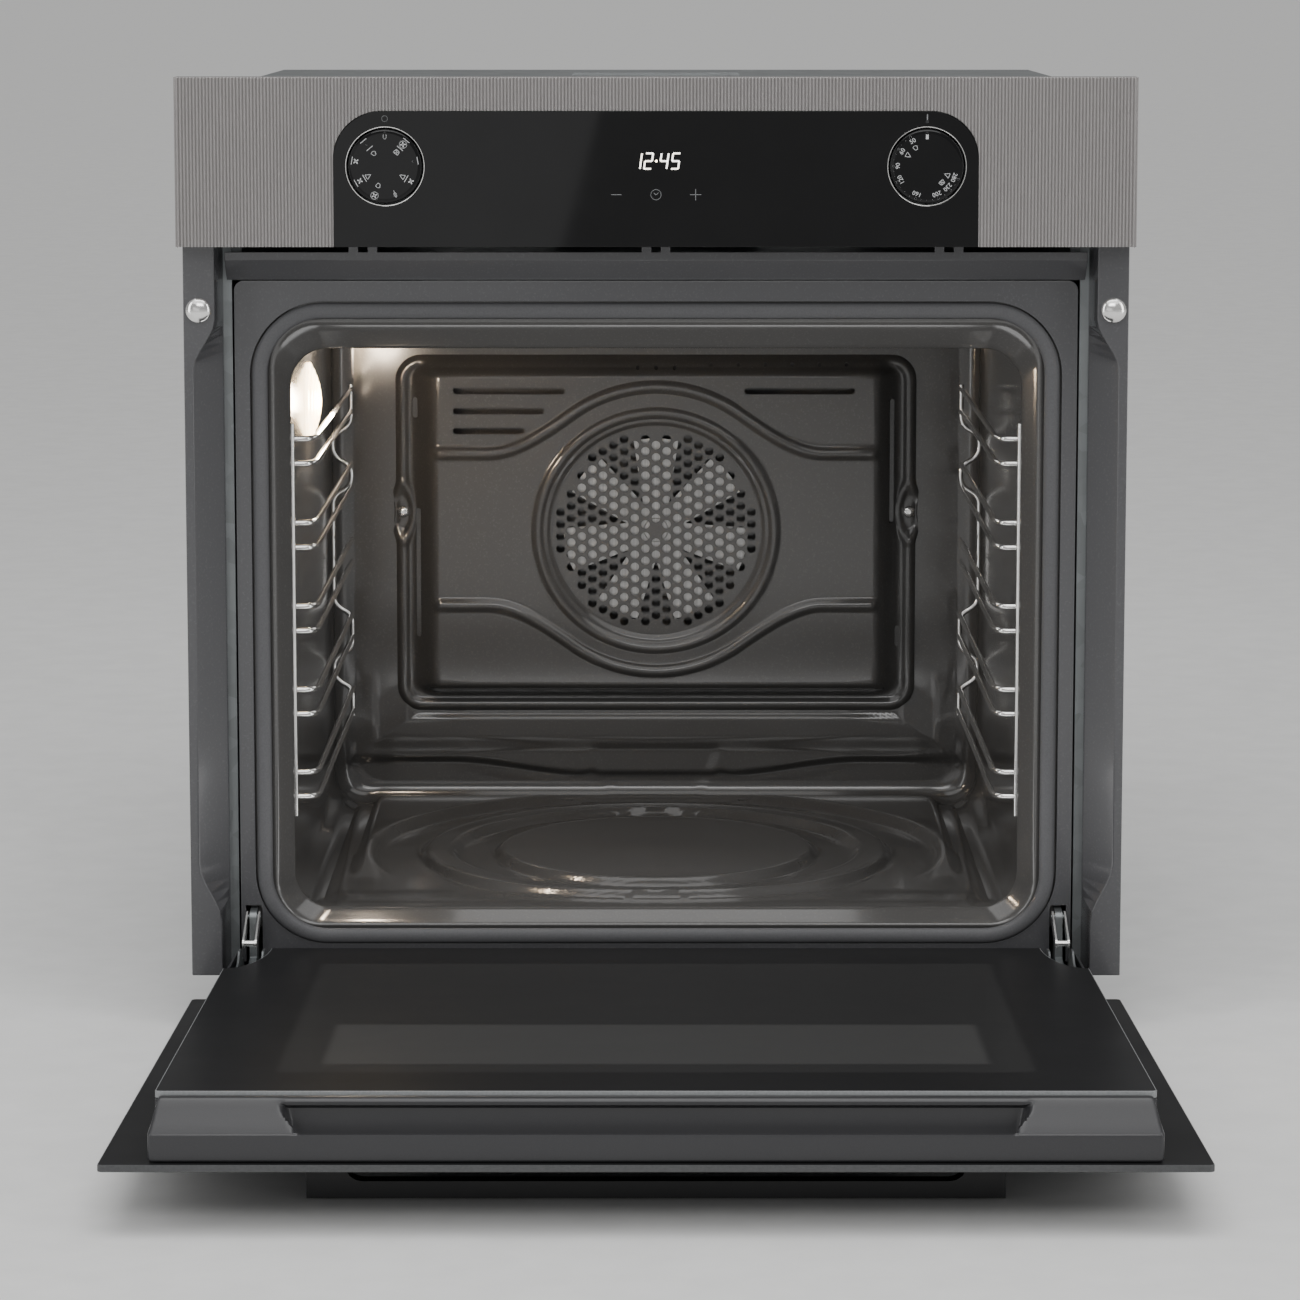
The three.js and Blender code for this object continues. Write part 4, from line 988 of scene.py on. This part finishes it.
def bump(distance, width):
    """A smooth ridge of height 1 whose half-width is width."""
    share = min(abs(distance) / width, 1.0)
    return (1 - share * share) ** 1.5


def outside_rounded(x, z, half, low, high, radius):
    """Signed distance to a rounded rectangle, below zero inside it."""
    across = abs(x) - (half - radius)
    up = abs(z - (low + high) / 2) - ((high - low) / 2 - radius)
    corner = math.hypot(max(across, 0), max(up, 0))
    return corner + min(max(across, up), 0) - radius


def sweep(x):
    """Half the distance between the two swept beads at x: level outside, round the fan inside."""
    level, radius, leave, settle_at = 55.5, 104, 60, 122
    x = abs(x)
    if x < leave:
        return math.sqrt(radius ** 2 - x * x)
    if x > settle_at:
        return level
    start = math.sqrt(radius ** 2 - leave ** 2)
    t = (x - leave) / (settle_at - leave)
    slope = -leave / start * (settle_at - leave)
    return level + (start - level) * (2 * t ** 3 - 3 * t ** 2 + 1) + slope * (t ** 3 - 2 * t ** 2 + t)


def cover_relief(x, z):
    """The y of the cover's face at x and z."""
    over_side = max((abs(x) - PANEL_SIDE) / (FOOT_SIDE - PANEL_SIDE), 0)
    over_top = max((z - PANEL_HIGH) / (FOOT_HIGH - PANEL_HIGH), (PANEL_LOW - z) / (PANEL_LOW - FOOT_LOW), 0)
    fall = ease(0, 1, math.hypot(over_side, over_top))
    y = COVER_FRONT + (FOOT_Y - COVER_FRONT) * fall
    edge = outside_rounded(x, z, **COVER_OUTLINE)
    eye = math.hypot((abs(x) - SCREW_X) / 7.5, (z - SCREW_Z) / 19)
    y -= 3.0 * bump(edge + 6.5, 4.5) * ease(0.9, 1.2, eye)
    y -= 2.4 * bump(eye - 1, 0.34) * fall
    y += 2.2 * ease(-4, 0, edge)
    steep = abs(sweep(abs(x) + 1) - sweep(abs(x) - 1)) / 2
    away = (abs(z - FAN_Z - 1) - sweep(abs(x))) / math.hypot(1, steep)
    y -= 3.2 * bump(away, 4.8) * (1 - ease(157, 162, abs(x)))
    from_fan = math.hypot(x, z - FAN_Z)
    y -= 2.4 * bump(from_fan - 86, 4.2)
    y += 2.0 * (1 - ease(76.5, 80.5, from_fan))
    return y


def settle(made):
    """Applies all modifiers, so that cutters are no longer needed."""
    mesh = mesh_of(made)
    made.modifiers.clear()
    made.data = mesh


def capsule(x0, x1, z0, z1):
    """Outline of a slot with round ends, along its longer side."""
    if x1 - x0 > z1 - z0:
        radius = (z1 - z0) / 2
        return (arc((x1 - radius, z0 + radius), radius, -90, 90, 8)
                + arc((x0 + radius, z0 + radius), radius, 90, 270, 8))
    radius = (x1 - x0) / 2
    return (arc((x0 + radius, z1 - radius), radius, 0, 180, 8)
            + arc((x0 + radius, z0 + radius), radius, 180, 360, 8))


# %% Fan cover: mesh, slots and perforated disc
rays, steps = 520, 88
rings = [[] for _ in range(steps + 1)]
for i in range(rays):
    angle = 2 * math.pi * i / rays
    dx, dz = math.cos(angle), math.sin(angle)
    low, high = 60.0, 320.0
    for _ in range(24):
        middle = (low + high) / 2
        beyond = outside_rounded(dx * middle, FAN_Z + dz * middle, **COVER_OUTLINE) > 0
        low, high = (low, middle) if beyond else (middle, high)
    for k in range(steps + 1):
        reach = DISC_RADIUS + (low - DISC_RADIUS) * k / steps
        x, z = dx * reach, FAN_Z + dz * reach
        rings[k].append((x, cover_relief(x, z), z))
bm = bmesh.new()
skin(bm, rings)
cover = piece("fan_cover", bm, cavity_enamel, "housing", ["fan_baffle"])
cover.modifiers.clear()
thick = cover.modifiers.new("sheet", "SOLIDIFY")
thick.thickness = 1.0 * MM
thick.offset = -1

SLOT_Z, SLOT_PITCH, SLOT_REACH = PANEL_HIGH - 10, 14.5, 2.4
slots = []
for row, length in enumerate((81, 66, 52)):
    row_z = SLOT_Z - SLOT_PITCH * row
    slots.append(capsule(-147, -147 + length, row_z - SLOT_REACH, row_z + SLOT_REACH))
slots.append(capsule(64, 144, SLOT_Z - SLOT_REACH, SLOT_Z + SLOT_REACH))
slots += [capsule(-177, -173.5, 334, 349), capsule(-175, -171.5, 173, 268),
          capsule(170, 173.5, 257, 348), capsule(174.5, 178, 166, 181)]
slots += [arc((13.4 * i, 371.5), 1.4, 0, 330, 11) for i in (-1, 0, 1)]
slots += [arc((40 + 19.6 * i, 373.5), 1.4, 0, 330, 11) for i in range(6)]
slots += [arc((side * SCREW_X, SCREW_Z), 2.2, 0, 330, 11) for side in (-1, 1)]
tool_bm = bmesh.new()
for outline in slots:
    back_ring = [(x, 440, z) for x, z in outline]
    front_ring = [(x, 400, z) for x, z in outline]
    close_ends(tool_bm, skin(tool_bm, [front_ring, back_ring]))
bmesh.ops.scale(tool_bm, vec=(MM, MM, MM), verts=tool_bm.verts)
bmesh.ops.recalc_face_normals(tool_bm, faces=tool_bm.faces)
tool_mesh = bpy.data.meshes.new("punches")
tool_bm.to_mesh(tool_mesh)
tool_bm.free()
punches = new_object("punches", tool_mesh)
punches.matrix_world = cabinet
punch = cover.modifiers.new("punch", "BOOLEAN")
punch.operation = "DIFFERENCE"
punch.object = punches
punch.solver = "EXACT"
bpy.context.view_layer.update()
settle(cover)
bpy.data.objects.remove(punches)
cover.data.shade_smooth()
cover.data.set_sharp_from_angle(angle=math.radians(55))
print("fan cover:", len(cover.data.polygons), "faces,", len(slots), "openings")

rows = int(DISC_RADIUS / HOLE_PITCH) + 1
holes = []
for column in range(-rows * 2, rows * 2 + 1):
    for row in range(-rows, rows + 1):
        x = column * HOLE_PITCH * math.sqrt(3) / 2
        z = (row + (0.5 if column % 2 else 0)) * HOLE_PITCH
        if 3 < math.hypot(x, z) < DISC_RADIUS - 5:
            holes.append(arc((x, FAN_Z + z), HOLE_RADIUS, 0, 345, 23))
rim = arc((0, FAN_Z), DISC_RADIUS + 1.4, 0, 355, 71)
bm = flat_sheet([rim, *holes], COVER_FRONT + 1.9, 1.0)
piece("perforated_disc", bm, cavity_enamel, "housing")
print("holes in the disc:", len(holes))

# %% [markdown]
# Two domed screws hold the cover. Behind the disc turns the fan, a star stamped from aluminised
# steel with one folded blade on each of its seven arms, and round it runs the heating ring.

# %% Cover screws, fan and heaters
head = [(2.0, -10), (2.0, -3.6), (4.6, -3.6), (4.6, -2.6), (4.2, -1.2), (3.0, -0.3), (1.6, 0.0),
        (1.4, -1.2), (0.01, -1.2)]
for name, side in SIDES:
    bm = bmesh.new()
    turn(bm, head, facing_user(side * SCREW_X, 425.4, SCREW_Z), 32)
    piece("cover_screw_" + name, bm, chrome, "housing", ["baffle_screw_" + name])

ARMS, HUB, TIP = 7, 22, 67
outline = []
for i in range(ARMS):
    middle = 90 + 360 * i / ARMS
    outline.append(polar(HUB, middle - 180 / ARMS))
    outline += arc((0, 0), TIP, middle - 14, middle + 14, 6)
star = [(x, FAN_Z + z) for x, z in outline]
bm = flat_sheet([star], 417.4, 1.2, 0.2)
for i in range(ARMS):
    spin = math.radians(90 + 360 * i / ARMS + 13)
    along, side = Vector((math.cos(spin), 0, math.sin(spin))), Vector((-math.sin(spin), 0, math.cos(spin)))
    base = Vector((0, 0, FAN_Z))
    rings = []
    for y in (417.6, 428.6):
        rings.append([base + Vector((0, y, 0)) + along * a + side * s
                      for a, s in ((26, -0.6), (66, -0.6), (66, 0.6), (26, 0.6))])
    close_ends(bm, skin(bm, rings))
boss = [(9, 0.2), (9, 1.4), (8.4, 2.0), (0.01, 2.2)]
turn(bm, [(3.5, -57), (3.5, 0.2), *boss], facing_user(0, 418.8, FAN_Z), 32)
piece("fan_star", bm, fan_steel, "convection_fan", ["fan_impeller"])

bm = bmesh.new()
TUBE, TERMINAL_Y = 3.2, 462
ring = [(x, 423, z) for x, z in arc((0, FAN_Z), 91, 98, 440, 57)]
(first_x, _, first_z), (last_x, _, last_z) = ring[0], ring[-1]
wire(bm, [(first_x, TERMINAL_Y, first_z), *ring, (last_x, TERMINAL_Y, last_z)], TUBE, 6)
piece("heating_ring", bm, sheath, "housing", ["circular_element"])

bm = bmesh.new()
GRILL_Z = 416
half_loop = [(24, TERMINAL_Y), (24, 400), (190, 380), (205, 365), (205, 120), (190, 105), (150, 105),
             (135, 120), (135, 330), (120, 345), (85, 345), (70, 330), (70, 120), (55, 105)]
loop = [(-x, y, GRILL_Z) for x, y in half_loop] + [(x, y, GRILL_Z) for x, y in reversed(half_loop)]
wire(bm, loop, TUBE, 10)
piece("grill_loop", bm, sheath, "housing", ["grill_element"])
print("fan and heaters made")

# %% [markdown]
# Side racks are bent and spot-welded from 3.8 mm wire, then chromed. Five pairs of runners carry the
# trays. Each upright at the back steps out to the wall three times, which gives the zigzag. Bends
# have a real radius here, and a runner's front end turns out to the front upright.

# %% Side racks
RACK_X, WAIST_X, RACK_FRONT_X, RACK_FRONT_Y, RACK_REAR_Y, WIRE = 218.7, 232, 233, 44, 380, 1.9
LEVELS = (143, 197, 251.3, 305.5, 359.8)
RUNNER_DROP = 16
WAISTS = ((150, 172), (204, 290), (312, 334))
for name, side in SIDES:
    bm = bmesh.new()
    foot = LEVELS[0] - RUNNER_DROP
    front = [(side * RACK_FRONT_X, RACK_FRONT_Y, z) for z in (foot - 12, LEVELS[-1] + 10)]
    wire(bm, front, WIRE)
    upright = [(side * RACK_X, RACK_REAR_Y, foot - 4)]
    for low, high in WAISTS:
        for x, z in ((RACK_X, low - 8), (WAIST_X, low), (WAIST_X, high - 8), (RACK_X, high)):
            upright.append((side * x, RACK_REAR_Y, z))
    upright.append((side * RACK_X, RACK_REAR_Y, LEVELS[-1] + 3))
    wire(bm, upright, WIRE, 6)
    for level in LEVELS:
        for height in (level, level - RUNNER_DROP):
            route = [(side * RACK_FRONT_X, RACK_FRONT_Y + 3, height),
                     (side * (RACK_X + 3), RACK_FRONT_Y + 3.5, height),
                     (side * RACK_X, RACK_FRONT_Y + 14, height),
                     (side * RACK_X, RACK_REAR_Y - 2, height)]
            wire(bm, route, WIRE, 5)
    piece("wire_rack_" + name, bm, chrome, "housing", ["rack_" + name])
print("wires in each rack:", 2 + 2 * len(LEVELS))

# %% [markdown]
# The lamp sits in the left wall. Its pressed lens has concentric ripples that spread the light.

# %% Oven lamp
lamp_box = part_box("lamp_lens")
lamp_y = (lamp_box[0].y + lamp_box[1].y) / 2 / MM - CABINET_Y / MM
lamp_z = (lamp_box[0].z + lamp_box[1].z) / 2 / MM
into_cavity = Matrix.Translation((-HALF, lamp_y, lamp_z)) @ Matrix.Rotation(math.pi / 2, 4, "Y")
bm = bmesh.new()
lens = [(23.2, 0.4), (26.8, 0.4), (26.8, 1.2)]
for i in range(24):
    radius = 26 - 26 * i / 24
    lens.append((radius, 1.6 + 7.0 * (1 - (radius / 26) ** 2) + 0.35 * math.cos(i * 1.6)))
lens.append((0.01, 8.9))
turn(bm, lens, into_cavity, 48)
piece("ripple_lens", bm, lamp_glass, "housing", ["lamp_lens", "lamp_bulb"])
dressed("temperature_probe", chrome, 0.3)
print("lamp at y, z =", round(lamp_y), round(lamp_z))

# %% [markdown]
# The door hangs on two chromed links. Its inner pane is cut and ground from coated glass, with a
# rounded notch at each lower corner for the hinges. The outer pane is the front that shows when the
# oven is closed. The cap along the free edge is extruded aluminium, powder-coated, with a pocket for
# ventilation. All is drawn in the door frame, as if the door were closed.

# %% Door panes
PANE_HALF, PANE_LOW, PANE_HIGH = 270, -4.4, 441.2
NOTCH_X, NOTCH_Z = 24, 73
right_edge = [(PANE_HALF - NOTCH_X * across, PANE_LOW + NOTCH_Z * up)
              for across, up in arc((0, 0), 1, 0, 90, 15)]
right_edge += arc((PANE_HALF - 3, PANE_HIGH - 3), 3, 0, 90, 4)
outline = right_edge + [(-x, z) for x, z in reversed(right_edge)]


def grind(pane, edge_finish):
    """Gives the edge faces of a pane the frosted look that a grinding wheel leaves."""
    pane.data.materials.append(edge_finish)
    for polygon in pane.data.polygons:
        polygon.material_index = 0 if abs(polygon.normal.y) > 0.98 else 1


bm = flat_sheet([outline], 14.3, 4.0, 0.6)
grind(piece("inner_pane", bm, inner_pane, "door", ["inner_glass"], door), ground_edge)

outer_box = rounded_rectangle(298.5, -15.2, 465.4, 3, 4)
bm = flat_sheet([outer_box], -20.7, 4.0, 0.6)
grind(piece("outer_pane", bm, outer_pane, "door", ["outer_glass"], door), dull_edge)
bm = flat_sheet([rounded_rectangle(244, 8, 438, 4, 4)], -4, 4.0, 0.4)
piece("middle_pane", bm, inner_pane, "door", ["middle_glass"], door)

# %% Door cap
CAP_HALF, CREASE = 272, -1.5
RECESS_HALF, RECESS_LEAN = 192, 9
whole = [(-16.4, 441.6), (-16.4, 459.0), (-16.0, 459.9), (-15.1, 460.2), (-2.8, 460.2), (-1.6, 459.9),
         (-0.6, 459.3), (3, 456.7), (5, 455.2), (6.5, 454.1), (8, 453.0), (9.5, 451.9), (11, 450.8),
         (12, 450.1), (12.8, 449.5), (13.6, 448.9), (14.4, 448.3), (15.4, 447.5), (16.1, 446.7),
         (16.4, 445.6), (16.4, 443.2), (16.0, 442.2), (12, 441.6)]
pocket = whole[:6] + [(-1.4, 458.8), (-3.0, 457.2), (-5.4, 453), (-6.0, 448), (-4.6, 445.6), (0, 444.8),
                      (6, 444.6), (9.8, 444.8), (11.2, 446.4), (12.2, 448.6), (14.0, 449.1),
                      (15.5, 448.2)] + whole[18:]
stations = [RECESS_HALF + RECESS_LEAN + 6 - 1.2 * i for i in range(20)]
stations = [262, 225, *stations, 150, 75, 0]
ends = [(0.0, 2.6), (0.25, 1.3), (1.0, 0.4), (2.4, 0.0)]
rings = []
for side in (-1, 1):
    rows = []
    for shrink, inset in reversed(ends):
        row = []
        for v, w in whole:
            lean = 4 * max(v - CREASE, 0) / 18
            toward = Vector((0 - v, 450 - w)).normalized() * shrink
            row.append((side * (CAP_HALF - inset - lean), v + toward.x, w + toward.y))
        rows.append(row)
    for x in stations:
        row = []
        for (v, w), (deep_v, deep_w) in zip(whole, pocket):
            edge = RECESS_HALF + RECESS_LEAN * ease(CREASE, 16.4, v)
            full = ease(edge - 3, edge + 3, x)
            row.append((side * x, deep_v + (v - deep_v) * full, deep_w + (w - deep_w) * full))
        rows.append(row)
    rings += rows if side < 0 else rows[::-1][1:]
bm = bmesh.new()
close_ends(bm, skin(bm, rings))
piece("extruded_cap", bm, powder_grey, "door", ["door_cap"], door)

# %% Door trims, handle and hinges
dressed("door_handle", powder_black, 1.6, 3)
for side in ("left", "right"):
    dressed("door_side_" + side, powder_grey, 0.3)
    dressed("hinge_channel_" + side, zinc, 0.25)
    dressed("hinge_link_" + side, chrome, 0.2)
    dressed("hinge_receiver_" + side, zinc, 0.3)
print("door trims made")

# %% [markdown]
# The other sheets keep their CAD shape. Those that show from outside get rounded edges, apart from
# the back panel with its round hole. The rest only get their finish, chosen by the material slot
# that the record gives them.

# %% Housing sheets and hidden parts
for node in ("base_plate", "side_panel_left", "side_panel_right", "top_cover"):
    dressed(node, zinc, 0.3)
dressed("back_panel", zinc, 0)
finishes = {
    "enamel": front_enamel, "ribbed_steel": ribbed_steel, "zinc_steel": zinc, "chrome": chrome,
    "black_glass": black_glass, "smoked_glass": outer_pane, "coated_aluminium": powder_grey,
    "black_coat": powder_black, "silicone": rubber, "heater_steel": sheath, "plastic": abs_black,
    "circuit_board": laminate, "mineral_wool": wool, "lamp_glass": lamp_glass,
}
kept = []
for part in frame["record"]["subparts"]:
    node = frame["nodes"][part["node"]]
    node.data.materials.clear()
    node.data.materials.append(finishes[part["material_slot"]])
    if not node.hide_render:
        kept.append(part["node"])
print("CAD nodes kept:", kept)

# %% [markdown]
# The oven stands on a plain pale floor. Because the open door's handle hangs lower than the base, a
# low plinth stands for the cabinet's shelf. A wide soft sky gives the even light. Large soft boxes
# hang overhead and stand at the left, at the right and in front.
# One far box is mirrored in the glass insert, where its tilted edge parts light from dark. Two small
# weak ones fill the cavity: one under its ceiling lifts the embossed rings off the floor, and one on
# the door lights the rolled lip from below. The oven's own lamp gives the warm corner.

# %% Floor and plinth
def stage_object(name, bm, material):
    mesh = bpy.data.meshes.new(name)
    bm.to_mesh(mesh)
    bm.free()
    mesh.materials.append(material)
    return new_object(name, mesh)


floor_z = cad_box[0].z - 0.6 * MM
pale_paper = grained("pale_paper", "#E4E4E3", "#EAEAE9", 30, 0.9, 0.0)
bm = bmesh.new()
bmesh.ops.create_grid(bm, x_segments=40, y_segments=40, size=120)
bmesh.ops.translate(bm, vec=(0, 0, floor_z), verts=bm.verts)
studio_floor = stage_object("studio_floor", bm, pale_paper)

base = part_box("base_plate")
bm = bmesh.new()
bmesh.ops.create_cube(bm, size=1)
size = Vector((0.5, base[1].y - base[0].y - 0.06, -floor_z - 0.3 * MM))
bmesh.ops.scale(bm, vec=size, verts=bm.verts)
bmesh.ops.translate(bm, vec=(0, base[0].y + 0.05 + size.y / 2, floor_z + size.z / 2), verts=bm.verts)
plinth = stage_object("plinth", bm, pale_paper)


# %% Lights
def soft_box(name, place, target, width, height, watts, tilt=0.0):
    """A rectangular light that faces its target, turned by tilt degrees. Sizes are in metres."""
    light = bpy.data.lights.new(name, "AREA")
    light.shape = "RECTANGLE"
    light.size, light.size_y = width, height
    light.energy = watts
    box = new_object(name, light)
    box.location = place
    aim = (Vector(target) - Vector(place)).to_track_quat("-Z", "Y")
    tilted = Matrix.Rotation(math.radians(tilt), 3, "Z").to_quaternion()
    box.rotation_euler = (aim @ tilted).to_euler()


soft_box("overhead", (0, -1.2, 2.6), (0, -0.25, 0.3), 2.2, 1.2, 22)
soft_box("left_strip", (-2.2, -1.9, 1.0), (0, -0.2, 0.35), 0.5, 2.4, 20)
soft_box("right_strip", (2.2, -1.9, 1.0), (0, -0.2, 0.35), 0.5, 2.4, 20)
soft_box("far_front", (-1.59, -6.0, 0.65), (-1.59, 0, 0.65), 3.0, 1.2, 7.0, tilt=-15.3)
soft_box("front_key", (0, -3.2, 1.7), (0, 0.1, 0.3), 1.6, 0.6, 15)
soft_box("lip_kicker", (0, CABINET_Y - 0.06, 0.06), (0, CABINET_Y - 0.06, 1), 0.46, 0.08, 0.4)
soft_box("cavity_ceiling", (0, CABINET_Y + 0.22, 0.403), (0, CABINET_Y + 0.22, 0), 0.30, 0.20, 0.26)
sky = bpy.data.lights.new("soft_sky", "SUN")
sky.energy = 1.1
sky.angle = math.radians(70)
sky_light = new_object("soft_sky", sky)
sky_light.rotation_euler = (math.radians(32), 0, 0)
lamp = bpy.data.lights.new("oven_lamp", "POINT")
lamp.energy = 0.8
lamp.color = linear("#FFE8CC")[:3]
lamp.shadow_soft_size = 0.012
lamp_light = new_object("oven_lamp", lamp)
lamp_light.location = cabinet @ (Vector((-HALF + 24, lamp_y, lamp_z)) * MM)

world = bpy.data.worlds.new("studio")
bpy.context.scene.world = world
world.use_nodes = True
background = world.node_tree.nodes["Background"]
background.inputs[0].default_value = linear("#D8D8D8")
background.inputs[1].default_value = 0.5

# %% Camera
camera_data = bpy.data.cameras.new("camera")
camera = new_object("camera", camera_data)
bpy.context.scene.camera = camera
VIEW_ANGLE = math.radians(16.94)
camera_data.sensor_width = 36
camera_data.lens = 18 / math.tan(VIEW_ANGLE / 2)
camera_data.shift_x = -0.0046
camera_data.shift_y = -0.1
camera_data.clip_start = 0.05
camera.location = (0, CABINET_Y - 2.733, 0.661)
camera.rotation_euler = (math.radians(90 - 7.25), 0, 0)
print("lens:", round(camera_data.lens, 1), "mm")

# %% Finish: update the scene
bpy.context.view_layer.update()
